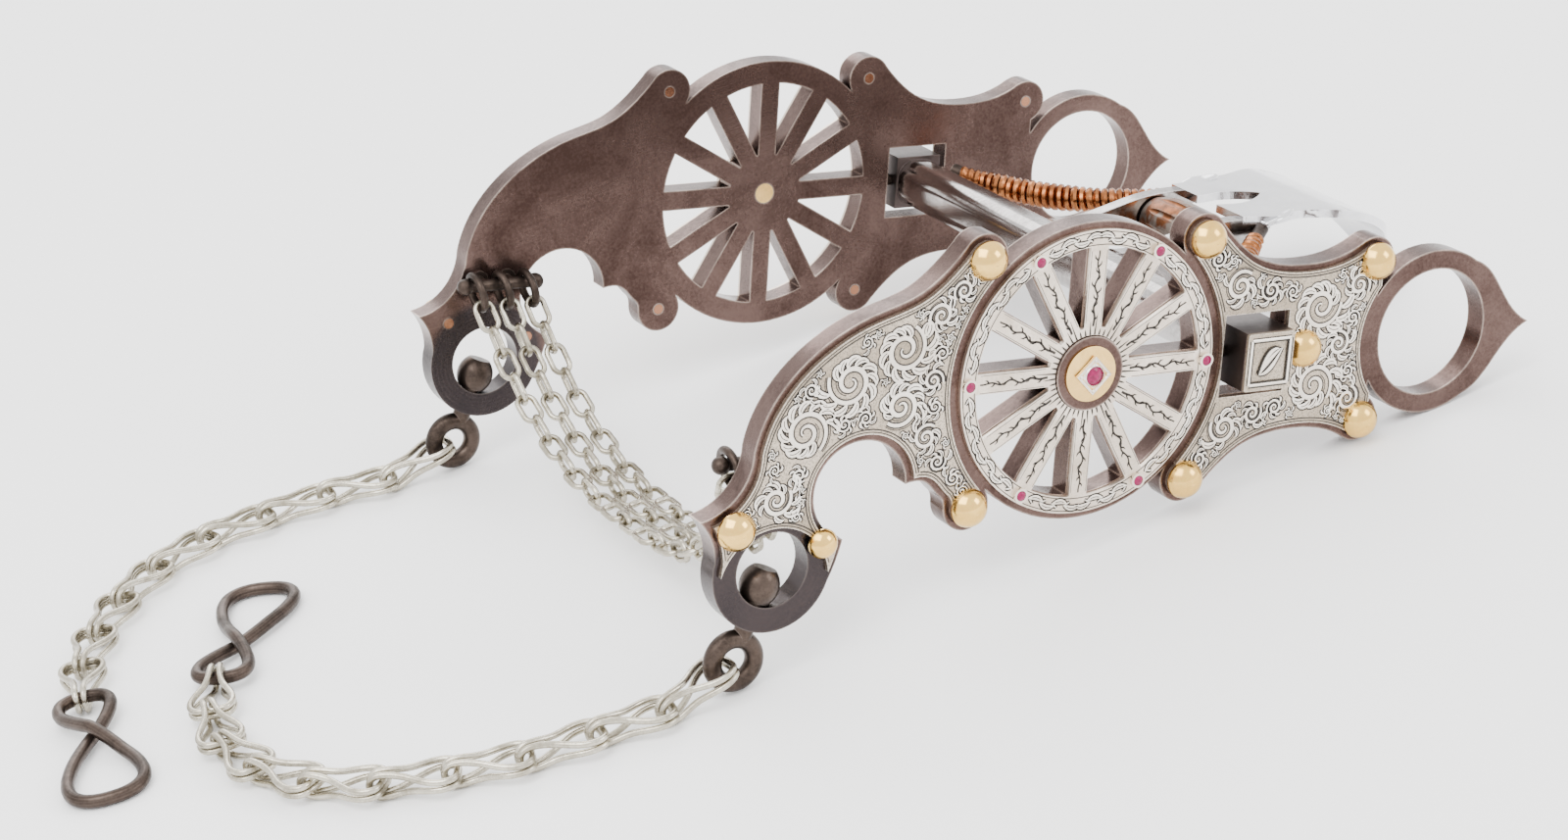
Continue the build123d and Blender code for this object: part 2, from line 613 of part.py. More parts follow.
def report(points, pitch):
    """Places that the joints and mounts are stated from."""
    print("tilt", round(degrees(TILT), 3), "table", round(TABLE_Z, 3), "curb pitch", round(pitch, 3))
    print("curb joints", [tuple(round(c, 3) for c in p) for p in points])


main()
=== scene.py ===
"""Looks for a curb bit: browned steel cheeks with engraved silver, spade mouthpiece and three chains.

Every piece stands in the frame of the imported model. Sizes in the classes are millimetres in the bit's
own axes: u along the cheeks, v across them, w along the mouthpiece to the left cheek. BitAxes turns
them into metres in the row frame.
"""
import json
import logging
import math
import random
from collections.abc import Callable, Iterable, Sequence
from dataclasses import dataclass, field
from enum import Enum

import bmesh
import bpy
import numpy as np
from mathutils import Matrix, Vector

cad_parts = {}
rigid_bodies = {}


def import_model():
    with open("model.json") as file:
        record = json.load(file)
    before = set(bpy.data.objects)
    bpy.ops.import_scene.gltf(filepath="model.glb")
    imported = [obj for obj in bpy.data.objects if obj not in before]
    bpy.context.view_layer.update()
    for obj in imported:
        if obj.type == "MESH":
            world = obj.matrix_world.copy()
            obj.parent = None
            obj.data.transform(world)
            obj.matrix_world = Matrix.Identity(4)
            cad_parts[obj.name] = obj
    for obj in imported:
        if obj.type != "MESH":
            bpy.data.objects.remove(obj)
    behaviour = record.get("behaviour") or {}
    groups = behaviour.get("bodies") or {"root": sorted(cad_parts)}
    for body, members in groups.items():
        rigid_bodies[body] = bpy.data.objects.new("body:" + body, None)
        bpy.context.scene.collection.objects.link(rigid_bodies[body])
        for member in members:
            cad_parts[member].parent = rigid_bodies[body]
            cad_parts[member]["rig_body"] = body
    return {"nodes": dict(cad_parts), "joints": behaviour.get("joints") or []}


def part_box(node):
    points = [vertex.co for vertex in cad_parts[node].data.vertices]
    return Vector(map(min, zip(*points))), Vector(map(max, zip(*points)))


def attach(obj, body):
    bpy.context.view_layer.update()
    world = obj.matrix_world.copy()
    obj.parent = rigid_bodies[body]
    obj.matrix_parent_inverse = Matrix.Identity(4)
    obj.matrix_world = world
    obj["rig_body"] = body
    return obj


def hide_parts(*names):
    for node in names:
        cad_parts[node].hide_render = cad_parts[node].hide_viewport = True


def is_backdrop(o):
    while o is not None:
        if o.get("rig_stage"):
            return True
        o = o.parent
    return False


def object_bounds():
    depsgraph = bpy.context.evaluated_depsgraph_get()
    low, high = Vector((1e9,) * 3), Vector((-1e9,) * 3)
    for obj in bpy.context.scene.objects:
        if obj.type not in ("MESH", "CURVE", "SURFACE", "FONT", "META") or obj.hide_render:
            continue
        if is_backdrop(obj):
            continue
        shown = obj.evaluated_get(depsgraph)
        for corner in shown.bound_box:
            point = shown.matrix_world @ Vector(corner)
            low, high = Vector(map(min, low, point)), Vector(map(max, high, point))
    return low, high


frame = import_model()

log = logging.getLogger("curb_bit")
MM = 0.001
Point2 = tuple[float, float]
Colour = tuple[float, float, float]


class Side(Enum):
    """The two cheeks, by the sign of w."""

    LEFT = 1
    RIGHT = -1

    @property
    def word(self) -> str:
        """Name used in piece and body names."""
        return self.name.lower()


# ---- axes -----------------------------------------------------------------------------------------

@dataclass(frozen=True)
class BitAxes:
    """The bit's own axes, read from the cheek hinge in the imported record."""

    along: Vector
    across: Vector
    bar_u: float = 39.0

    @classmethod
    def from_record(cls) -> "BitAxes":
        """Read the axes.

        Returns:
            The axes with u along the cheek hinge.
        """
        hinge = next(j for j in frame["joints"] if j["name"] == "left_cheek_swing")
        along = Vector(hinge["axis"])
        return cls(along, Vector((-along.z, 0, along.x)))

    def at(self, u: float, v: float, w: float) -> Vector:
        """Turn a place on the bit into the row frame.

        Args:
            u: Along the cheek, mm.
            v: Across the cheek, mm.
            w: Along the mouthpiece, mm.

        Returns:
            The place in metres.
        """
        return (self.along * (u - self.bar_u) + self.across * v + Vector((0, -w, 0))) * MM

    def uv(self, place: Vector) -> Point2:
        """Place in the cheek's plane, mm, of a point in the row frame."""
        return place.dot(self.along) / MM + self.bar_u, place.dot(self.across) / MM


AXES = BitAxes.from_record()


# ---- shader building ------------------------------------------------------------------------------

class Nodes:
    """Short calls for laying out one node tree."""

    def __init__(self, tree: bpy.types.NodeTree) -> None:
        """Keep the tree that is to be filled."""
        self.tree = tree

    def add(self, kind: str, links: dict | None = None, **values: object) -> bpy.types.Node:
        """Add a node.

        Args:
            kind: Node type name without its ShaderNode prefix.
            links: Socket name or index to a value or an output socket.
            **values: Properties of the node.

        Returns:
            The node.
        """
        node = self.tree.nodes.new(kind if kind.startswith("Node") else "ShaderNode" + kind)
        for key, value in values.items():
            setattr(node, key, value)
        for key, value in (links or {}).items():
            self.feed(node.inputs[key], value)
        return node

    def feed(self, socket: bpy.types.NodeSocket, value: object) -> None:
        """Link an output to the socket, or set its plain value.

        Args:
            socket: The input to fill.
            value: An output socket, a number, or a colour.
        """
        if isinstance(value, bpy.types.NodeSocket):
            self.tree.links.new(value, socket)
        elif isinstance(value, tuple) and len(value) == 3 and socket.type == "RGBA":
            socket.default_value = (*value, 1)
        else:
            socket.default_value = value

    def maths(self, operation: str, a: object, b: object = 0.0, clamp: bool = False) -> bpy.types.NodeSocket:
        """One Math node's result."""
        return self.add("Math", {0: a, 1: b}, operation=operation, use_clamp=clamp).outputs[0]

    def mix(self, factor: object, a: object, b: object) -> bpy.types.NodeSocket:
        """Colour a turning into colour b by factor.

        Args:
            factor: How much of b shows, 0 to 1.
            a: First colour.
            b: Second colour.

        Returns:
            The mixed colour.
        """
        node = self.add("Mix", data_type="RGBA")
        for socket, value in ((node.inputs[0], factor), (node.inputs[6], a), (node.inputs[7], b)):
            self.feed(socket, value)
        return node.outputs[2]

    def span(self, value: object, low: float, high: float, to_low: float = 0.0,
             to_high: float = 1.0) -> bpy.types.NodeSocket:
        """Value mapped from one range to another, clamped."""
        return self.add("MapRange", {0: value, 1: low, 2: high, 3: to_low, 4: to_high}).outputs[0]

    def noise(self, place: object, scale: float, detail: float = 4.0,
              rough: float = 0.6) -> bpy.types.NodeSocket:
        """Noise value at a place."""
        return self.add("TexNoise", {"Vector": place, "Scale": scale, "Detail": detail,
                                     "Roughness": rough}).outputs["Fac"]


def make_group(name: str, inputs: dict[str, float], outputs: dict[str, str],
               fill: Callable[[Nodes, bpy.types.Node, bpy.types.Node], None]) -> bpy.types.NodeTree:
    """Build a shader node group once.

    Args:
        name: Group name.
        inputs: Input socket names with their default values.
        outputs: Output socket names with their socket types.
        fill: Adds the nodes between the group's input and output.

    Returns:
        The group.
    """
    tree = bpy.data.node_groups.new(name, "ShaderNodeTree")
    for key, value in inputs.items():
        tree.interface.new_socket(key, in_out="INPUT", socket_type="NodeSocketFloat").default_value = value
    for key, kind in outputs.items():
        tree.interface.new_socket(key, in_out="OUTPUT", socket_type=kind)
    nodes = Nodes(tree)
    fill(nodes, nodes.add("NodeGroupInput"), nodes.add("NodeGroupOutput"))
    return tree


def fill_patina(n: Nodes, given: bpy.types.Node, out: bpy.types.Node) -> None:
    """Cloudy tarnish with finer grain inside it; Mask is high where the metal is stained.

    Args:
        n: The group's nodes.
        given: The group's input node.
        out: The group's output node.
    """
    place = n.add("TexCoord").outputs["Object"]
    big = n.add("TexNoise", {"Vector": place, "Scale": given.outputs["Cloud Scale"], "Detail": 5.0,
                             "Roughness": 0.62, "Distortion": 0.6}).outputs["Fac"]
    fine = n.add("TexNoise", {"Vector": place, "Scale": given.outputs["Grain Scale"], "Detail": 6.0,
                              "Roughness": 0.7}).outputs["Fac"]
    both = n.maths("ADD", n.maths("MULTIPLY", big, 0.65), n.maths("MULTIPLY", fine, 0.35))
    n.feed(out.inputs["Mask"], n.span(both, 0.40, 0.62))
    n.feed(out.inputs["Grain"], fine)


def fill_worn_edges(n: Nodes, given: bpy.types.Node, out: bpy.types.Node) -> None:
    """Mask is high along outside edges, broken up by noise.

    Args:
        n: The group's nodes.
        given: The group's input node.
        out: The group's output node.
    """
    round_normal = n.add("Bevel", {"Radius": given.outputs["Width"]}, samples=6).outputs[0]
    true = n.add("NewGeometry").outputs["True Normal"]
    facing = n.add("VectorMath", {0: round_normal, 1: true}, operation="DOT_PRODUCT").outputs["Value"]
    turned = n.span(facing, 0.995, 0.86)
    place = n.add("TexCoord").outputs["Object"]
    rub = n.span(n.noise(place, 190.0, 5.0), 0.36, 0.62, 0.35, 1.0)
    n.feed(out.inputs["Mask"], n.maths("MULTIPLY", turned, rub, clamp=True))


def fill_file_marks(n: Nodes, given: bpy.types.Node, out: bpy.types.Node) -> None:
    """Fine drawn lines left by files and polishing, along the row frame's X.

    Args:
        n: The group's nodes.
        given: The group's input node.
        out: The group's output node.
    """
    place = n.add("TexCoord").outputs["Object"]
    stretched = n.add("Mapping", {"Vector": place, "Scale": (0.06, 1.0, 1.0)}).outputs[0]
    lines = n.add("TexNoise", {"Vector": stretched, "Scale": given.outputs["Scale"], "Detail": 3.0,
                               "Roughness": 0.75}).outputs["Fac"]
    n.feed(out.inputs["Height"], lines)


PATINA = make_group("patina", {"Cloud Scale": 60.0, "Grain Scale": 900.0},
                    {"Mask": "NodeSocketFloat", "Grain": "NodeSocketFloat"}, fill_patina)
WORN_EDGES = make_group("worn_edges", {"Width": 0.0006}, {"Mask": "NodeSocketFloat"}, fill_worn_edges)
FILE_MARKS = make_group("file_marks", {"Scale": 2500.0}, {"Height": "NodeSocketFloat"}, fill_file_marks)


@dataclass(frozen=True)
class Finish:
    """A metal finish: clean colour, stained colour, worn edge colour and how it shines."""

    name: str
    clean: Colour
    stained: Colour
    edge: Colour
    metallic: float = 1.0
    gloss: tuple[float, float] = (0.25, 0.45)
    cloud: float = 60.0
    grain: float = 900.0
    edge_width: float = 0.0005
    bump: float = 0.15
    marks: float = 2500.0

    def place_group(self, n: Nodes, tree: bpy.types.NodeTree, values: dict[str, float]) -> bpy.types.Node:
        """Place one of the shared groups with this finish's own values.

        Args:
            n: The material's nodes.
            tree: The shared group.
            values: Input socket names and their values.

        Returns:
            The group's node.
        """
        node = n.add("Group", node_tree=tree)
        for key, value in values.items():
            node.inputs[key].default_value = value
        return node

    def extra(self, n: Nodes, colour: object, rough: object, height: object) -> tuple[object, object, object]:
        """Change colour, roughness and height where this finish has more to it.

        Args:
            n: The material's nodes.
            colour: Colour so far.
            rough: Roughness so far.
            height: Height of the surface marks so far.

        Returns:
            The three, changed or not.
        """
        return colour, rough, height

    def away(self, n: Nodes, place: object, at: Point2) -> bpy.types.NodeSocket:
        """Distance from an axis along Y through a place on the cheek.

        Args:
            n: The material's nodes.
            place: Object coordinates.
            at: The place, mm in the cheek's plane.

        Returns:
            The distance in metres.
        """
        flat = n.add("VectorMath", {0: place, 1: (1.0, 0.0, 1.0)}, operation="MULTIPLY").outputs[0]
        centre = tuple(AXES.at(*at, 0))
        return n.add("VectorMath", {0: flat, 1: centre}, operation="DISTANCE").outputs["Value"]

    def depth(self, n: Nodes, place: object) -> bpy.types.NodeSocket:
        """Distance from the middle of the bit, along Y."""
        return n.maths("ABSOLUTE", n.add("SeparateXYZ", {0: place}).outputs["Y"])

    def build(self) -> bpy.types.Material:
        """Build the material.

        Returns:
            The material, with its nodes.
        """
        material = bpy.data.materials.new(self.name)
        material.use_nodes = True
        n = Nodes(material.node_tree)
        shader = material.node_tree.nodes["Principled BSDF"]
        shader.inputs["Metallic"].default_value = self.metallic
        patina = self.place_group(n, PATINA, {"Cloud Scale": self.cloud, "Grain Scale": self.grain})
        worn = self.place_group(n, WORN_EDGES, {"Width": self.edge_width})
        marks = self.place_group(n, FILE_MARKS, {"Scale": self.marks})
        colour = n.mix(patina.outputs["Mask"], self.clean, self.stained)
        colour = n.mix(worn.outputs["Mask"], colour, self.edge)
        rough = n.span(patina.outputs["Mask"], 0.0, 1.0, *self.gloss)
        height = n.maths("ADD", n.maths("MULTIPLY", patina.outputs["Grain"], 0.5),
                         n.maths("MULTIPLY", marks.outputs["Height"], 0.5))
        colour, rough, height = self.extra(n, colour, rough, height)
        n.feed(shader.inputs["Base Color"], colour)
        n.feed(shader.inputs["Roughness"], rough)
        bump = n.add("Bump", {"Height": height, "Strength": self.bump, "Distance": 0.0001})
        n.feed(shader.inputs["Normal"], bump.outputs[0])
        return material


@dataclass(frozen=True)
class CheekSteel(Finish):
    """Browned steel that turns to dark gunmetal with turned rings round the rein ring."""

    gunmetal: Colour = (0.026, 0.025, 0.028)
    ring_at: Point2 = (-66.7, -32.5)
    ring_r: float = 13.4

    def extra(self, n: Nodes, colour: object, rough: object, height: object) -> tuple[object, object, object]:
        """Darken the rein ring and turn fine circles into it.

        Args:
            n: The material's nodes.
            colour: Colour so far.
            rough: Roughness so far.
            height: Height of the surface marks so far.

        Returns:
            The three, changed or not.
        """
        place = n.add("TexCoord").outputs["Object"]
        away = self.away(n, place, self.ring_at)
        near = n.span(away, (self.ring_r + 1.0) * MM, (self.ring_r - 1.0) * MM)
        turned = n.maths("SINE", n.maths("MULTIPLY", away, 7000.0))
        lines = n.maths("MULTIPLY", n.maths("MULTIPLY", turned, 0.35), near)
        colour = n.mix(n.maths("MULTIPLY", near, 0.8), colour, self.gunmetal)
        return colour, rough, n.maths("ADD", height, lines)


@dataclass(frozen=True)
class GroundSilver(Finish):
    """Silver with a stippled, darkened ground for the engraving to stand on."""

    ground: Colour = (0.17, 0.155, 0.125)
    dots: float = 2600.0

    def extra(self, n: Nodes, colour: object, rough: object, height: object) -> tuple[object, object, object]:
        """Cover the face with small round punch marks.

        Args:
            n: The material's nodes.
            colour: Colour so far.
            rough: Roughness so far.
            height: Height of the surface marks so far.

        Returns:
            The three, changed or not.
        """
        place = n.add("TexCoord").outputs["Object"]
        cell = n.add("TexVoronoi", {"Vector": place, "Scale": self.dots}).outputs["Distance"]
        dot = n.span(cell, 0.50, 0.22)
        darkened = n.mix(n.maths("MULTIPLY", dot, 0.75), colour, self.ground)
        return darkened, rough, n.maths("SUBTRACT", height, dot)


@dataclass(frozen=True)
class RivetGold(Finish):
    """Gold outside; copper where the rivet comes through the inner face."""

    copper: Colour = (0.34, 0.16, 0.095)
    inner_face: float = 66.5

    def extra(self, n: Nodes, colour: object, rough: object, height: object) -> tuple[object, object, object]:
        """Turn the inner ends copper.

        Args:
            n: The material's nodes.
            colour: Colour so far.
            rough: Roughness so far.
            height: Height of the surface marks so far.

        Returns:
            The three, changed or not.
        """
        place = n.add("TexCoord").outputs["Object"]
        inner = n.span(self.depth(n, place), (self.inner_face + 0.1) * MM, (self.inner_face - 0.1) * MM)
        return n.mix(inner, colour, self.copper), rough, height


@dataclass(frozen=True)
class SettingGold(Finish):
    """Gold for the hub's disc and pale silver for the small settings round the rim."""

    silver: Colour = (0.74, 0.66, 0.57)
    disc_r: float = 12.0

    def extra(self, n: Nodes, colour: object, rough: object, height: object) -> tuple[object, object, object]:
        """Turn everything beyond the disc silver.

        Args:
            n: The material's nodes.
            colour: Colour so far.
            rough: Roughness so far.
            height: Height of the surface marks so far.

        Returns:
            The three, changed or not.
        """
        place = n.add("TexCoord").outputs["Object"]
        away = self.away(n, place, (0.0, 0.0))
        beyond = n.span(away, (self.disc_r - 0.5) * MM, (self.disc_r + 0.5) * MM)
        return n.mix(beyond, colour, self.silver), rough, height


@dataclass(frozen=True)
class BarSteel(Finish):
    """Polished steel with the soft facets that hand filing leaves along the bar."""

    facet: float = 620.0
    tenon: Colour = (0.085, 0.066, 0.062)
    cheek_inner: float = 62.2

    def extra(self, n: Nodes, colour: object, rough: object, height: object) -> tuple[object, object, object]:
        """Add low facets across the bar's length.

        Args:
            n: The material's nodes.
            colour: Colour so far.
            rough: Roughness so far.
            height: Height of the surface marks so far.

        Returns:
            The three, changed or not.
        """
        place = n.add("TexCoord").outputs["Object"]
        squeezed = n.add("Mapping", {"Vector": place, "Scale": (0.5, 1.0, 0.5)}).outputs[0]
        soft = n.noise(squeezed, self.facet * 0.35, 1.0, 0.4)
        tenon = n.span(self.depth(n, place), (self.cheek_inner - 0.3) * MM, (self.cheek_inner + 0.3) * MM)
        colour = n.mix(tenon, colour, self.tenon)
        rough = n.maths("ADD", rough, n.maths("MULTIPLY", tenon, 0.2))
        return colour, rough, n.maths("ADD", height, n.maths("MULTIPLY", soft, 1.2))


@dataclass(frozen=True)
class RollerCopper(Finish):
    """Copper roller, with steel left on the tops of its ribs."""

    steel: Colour = (0.20, 0.165, 0.14)

    def extra(self, n: Nodes, colour: object, rough: object, height: object) -> tuple[object, object, object]:
        """Rub the ribs bright.

        Args:
            n: The material's nodes.
            colour: Colour so far.
            rough: Roughness so far.
            height: Height of the surface marks so far.

        Returns:
            The three, changed or not.
        """
        place = n.add("TexCoord").outputs["Object"]
        patch = n.span(n.noise(place, 260.0, 2.0), 0.48, 0.60)
        return n.mix(patch, colour, self.steel), rough, height


@dataclass(frozen=True)
class Stone:
    """Deep red stone."""

    name: str = "ruby"
    colour: Colour = (0.27, 0.003, 0.072)

    def build(self) -> bpy.types.Material:
        """Build the material.

        Returns:
            The stone's material with faint cloudy inclusions.
        """
        material = bpy.data.materials.new(self.name)
        material.use_nodes = True
        n = Nodes(material.node_tree)
        shader = material.node_tree.nodes["Principled BSDF"]
        place = n.add("TexCoord").outputs["Object"]
        cloud = n.span(n.noise(place, 1500.0, 3.0), 0.35, 0.7)
        n.feed(shader.inputs["Base Color"], n.mix(cloud, self.colour, (0.13, 0.001, 0.030)))
        shader.inputs["Roughness"].default_value = 0.05
        shader.inputs["IOR"].default_value = 1.40
        return material


class Finishes:
    """Every material of the bit, built once."""

    def __init__(self) -> None:
        """Build the materials."""
        self.cheek = CheekSteel("browned_cheek_steel", (0.122, 0.078, 0.067), (0.050, 0.028, 0.023),
                                (0.44, 0.35, 0.30), 0.94, (0.18, 0.38), 55.0, 1400.0, 0.0007, 0.30).build()
        self.hook = Finish("dark_hook_steel", (0.072, 0.052, 0.042), (0.028, 0.020, 0.016),
                           (0.24, 0.19, 0.165), 0.9, (0.30, 0.50), 130.0, 1600.0, 0.0004, 0.35).build()
        self.bar = BarSteel("polished_bar_steel", (0.50, 0.475, 0.465), (0.24, 0.22, 0.21),
                            (0.76, 0.75, 0.75), 1.0, (0.08, 0.22), 45.0, 900.0, 0.0004, 0.22).build()
        self.spoon = Finish("polished_spoon_steel", (0.78, 0.78, 0.80), (0.62, 0.62, 0.64),
                            (0.88, 0.88, 0.90), 1.0, (0.09, 0.20), 40.0, 700.0, 0.0004, 0.08).build()
        self.silver = GroundSilver("punched_silver_ground", (0.58, 0.49, 0.39), (0.34, 0.275, 0.205),
                                   (0.88, 0.82, 0.74), 0.92, (0.28, 0.42), 48.0, 1800.0, 0.0004, 0.25).build()
        self.plain_silver = Finish("plain_warm_silver", (0.80, 0.70, 0.60), (0.54, 0.45, 0.36),
                                   (0.90, 0.85, 0.78), 0.92, (0.26, 0.40), 70.0, 2200.0, 0.0004, 0.20).build()
        self.scroll = Finish("cut_silver_scroll", (0.90, 0.84, 0.755), (0.70, 0.62, 0.53),
                             (0.92, 0.90, 0.84), 0.95, (0.20, 0.32), 70.0, 2500.0, 0.0001, 0.10).build()
        self.line = Finish("dark_cut_line", (0.022, 0.016, 0.011), (0.012, 0.008, 0.005),
                           (0.035, 0.026, 0.018), 0.0, (0.55, 0.70), 200.0, 2500.0, 0.0001, 0.10).build()
        self.gold = RivetGold("pale_gold", (0.86, 0.55, 0.16), (0.70, 0.43, 0.11),
                              (0.95, 0.75, 0.38), 1.0, (0.12, 0.24), 160.0, 1200.0, 0.0003, 0.06).build()
        self.setting = SettingGold("gold_disc_and_silver_settings", (0.86, 0.56, 0.20), (0.70, 0.44, 0.14),
                                   (0.92, 0.66, 0.30), 1.0, (0.14, 0.26), 160.0, 1200.0, 0.0003, 0.06).build()
        self.copper = Finish("bright_copper_wire", (0.38, 0.145, 0.052), (0.17, 0.055, 0.020),
                             (0.52, 0.23, 0.10), 1.0, (0.20, 0.36), 220.0, 1800.0, 0.0002, 0.12).build()
        self.roller = RollerCopper("worn_copper_roller", (0.22, 0.075, 0.025), (0.08, 0.028, 0.010),
                                   (0.30, 0.24, 0.19), 0.95, (0.26, 0.48), 240.0, 1500.0, 0.0004, 0.35).build()
        self.chain = Finish("nickel_silver_wire", (0.56, 0.52, 0.43), (0.27, 0.24, 0.18),
                            (0.74, 0.71, 0.63), 1.0, (0.20, 0.36), 150.0, 1800.0, 0.0003, 0.18).build()
        self.ruby = Stone().build()


# ---- pieces ---------------------------------------------------------------------------------------

def paint(obj: bpy.types.Object, material: bpy.types.Material) -> bpy.types.Object:
    """Give a piece one material.

    Args:
        obj: The piece.
        material: Its material.

    Returns:
        The piece.
    """
    obj.data.materials.clear()
    obj.data.materials.append(material)
    return obj


def link(name: str, mesh: bpy.types.Mesh) -> bpy.types.Object:
    """Put a mesh into the scene as an object.

    Args:
        name: The object's name.
        mesh: Its mesh.

    Returns:
        The object.
    """
    obj = bpy.data.objects.new(name, mesh)
    bpy.context.scene.collection.objects.link(obj)
    return obj


def smooth_by_angle(mesh: bpy.types.Mesh, degrees: float = 32.0) -> None:
    """Smooth shading, with edges sharper than the angle kept sharp.

    Args:
        mesh: The mesh.
        degrees: The angle.
    """
    mesh.shade_smooth()
    mesh.set_sharp_from_angle(angle=math.radians(degrees))


def bent_wire(name: str, places: Sequence[Vector], wire: float, steps: int, sides: int) -> bpy.types.Object:
    """A round wire bent to a smooth closed line.

    Args:
        name: The piece's name.
        places: Points that steer its line, metres.
        wire: Its radius, mm.
        steps: Steps between two points.
        sides: Fineness of its round section.

    Returns:
        The wire.
    """
    curve = bpy.data.curves.new(f"{name}_line", "CURVE")
    curve.dimensions = "3D"
    spline = curve.splines.new("NURBS")
    spline.points.add(len(places) - 1)
    for point, place in zip(spline.points, places):
        point.co = (*place, 1)
    spline.use_cyclic_u = True
    spline.order_u = 4
    curve.resolution_u = steps
    curve.bevel_depth, curve.bevel_resolution = wire * MM, sides
    line = bpy.data.objects.new(curve.name, curve)
    mesh = bpy.data.meshes.new_from_object(line)
    bpy.data.objects.remove(line)
    mesh.shade_smooth()
    return link(name, mesh)


def softened(node: str, name: str, width: float, material: bpy.types.Material,
             segments: int = 2) -> bpy.types.Object:
    """A copy of a CAD node with its sharp edges eased, which then stands for it.

    Args:
        node: The CAD node.
        name: Name of the new piece.
        width: Width of the eased edge, mm.
        material: Its material.
        segments: Steps across the eased edge.

    Returns:
        The new piece.
    """
    source = frame["nodes"][node]
    mesh = source.data.copy()
    work = bmesh.new()
    work.from_mesh(mesh)
    bmesh.ops.remove_doubles(work, verts=work.verts, dist=2e-6)
    bmesh.ops.dissolve_limit(work, angle_limit=math.radians(0.6), verts=work.verts, edges=work.edges)
    work.to_mesh(mesh)
    work.free()
    piece = link(name, mesh)
    easing = piece.modifiers.new("eased_edges", "BEVEL")
    easing.width, easing.segments = width * MM, segments
    easing.limit_method, easing.angle_limit = "ANGLE", math.radians(38)
    easing.use_clamp_overlap = True
    easing.harden_normals = True
    smooth_by_angle(mesh)
    paint(piece, material)
    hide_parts(node)
    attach(piece, source["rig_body"])
    log.info("piece %s stands for %s", name, node)
    return piece


# ---- engraving ------------------------------------------------------------------------------------

@dataclass
class Cutting:
    """Collects the strokes of one engraved face, then makes them into ridges and dark lines."""

    side: Side
    level: float
    outline: float = 0.62
    ridge_points: list[Vector] = field(default_factory=list)
    ridge_faces: list[tuple[int, ...]] = field(default_factory=list)
    line_points: list[Vector] = field(default_factory=list)
    line_faces: list[tuple[int, ...]] = field(default_factory=list)

    def place(self, u: float, v: float, rise: float) -> Vector:
        """A point on the face, raised off it by rise mm."""
        return AXES.at(u, v, self.side.value * (self.level + rise))

    def frames(self, path: Sequence[Point2]) -> list[tuple[float, float, float, float]]:
        """Each point of a path with the unit direction square to it.

        Args:
            path: Points in the cheek's plane, mm.

        Returns:
            Each point and its direction.
        """
        out = []
        for i, (u, v) in enumerate(path):
            (u0, v0), (u1, v1) = path[max(i - 1, 0)], path[min(i + 1, len(path) - 1)]
            du, dv = u1 - u0, v1 - v0
            size = math.hypot(du, dv) or 1.0
            out.append((u, v, -dv / size, du / size))
        return out

    def dark(self, path: Sequence[Point2], widths: Sequence[float], rise: float = 0.012) -> None:
        """A flat dark stroke.

        Args:
            path: Points of its middle, mm.
            widths: Its width at each point, mm.
            rise: Height above the silver, mm.
        """
        start = len(self.line_points)
        for (u, v, nu, nv), width in zip(self.frames(path), widths):
            for s in (-0.5, 0.5):
                self.line_points.append(self.place(u + nu * width * s, v + nv * width * s, rise))
        self.line_faces += [(start + 2 * i, start + 2 * i + 1, start + 2 * i + 3, start + 2 * i + 2)
                            for i in range(len(path) - 1)]

    def ridge(self, path: Sequence[Point2], widths: Sequence[float], height: float = 0.10) -> None:
        """A bright raised stroke with a rounded top, over a dark one that outlines it.

        Args:
            path: Points of its middle, mm.
            widths: Its width at each point, mm.
            height: Height of its top, mm.
        """
        self.dark(path, [w + self.outline for w in widths])
        start = len(self.ridge_points)
        section = ((-0.5, 0.0), (-0.28, 0.8), (0.28, 0.8), (0.5, 0.0))
        for (u, v, nu, nv), width in zip(self.frames(path), widths):
            for s, h in section:
                rise = 0.01 + h * height
                self.ridge_points.append(self.place(u + nu * width * s, v + nv * width * s, rise))
        wide = len(section)
        self.ridge_faces += [(start + wide * i + k, start + wide * i + k + 1, start + wide * (i + 1) + k + 1,
                              start + wide * (i + 1) + k)
                             for i in range(len(path) - 1) for k in range(wide - 1)]

    def finish(self, name: str, body: str, finishes: Finishes) -> None:
        """Make the strokes into two meshes that ride with the cheek.

        Args:
            name: Start of the pieces' names.
            body: The body they ride on.
            finishes: The bit's materials.
        """
        made = ((f"{name}_scrolls", self.ridge_points, self.ridge_faces, finishes.scroll, "engraved_silver"),
                (f"{name}_cut_lines", self.line_points, self.line_faces, finishes.line, "dark_steel"))
        for piece_name, points, faces, material, slot in made:
            if not faces:
                continue
            mesh = bpy.data.meshes.new(piece_name)
            mesh.from_pydata(points, [], faces)
            work = bmesh.new()
            work.from_mesh(mesh)
            outward = Vector((0, -self.side.value, 0))
            for face in work.faces:
                if face.normal.dot(outward) < 0:
                    face.normal_flip()
            work.to_mesh(mesh)
            work.free()
            mesh.shade_smooth()
            piece = paint(link(piece_name, mesh), material)
            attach(piece, body)
            log.info("piece %s: %d faces", piece_name, len(faces))


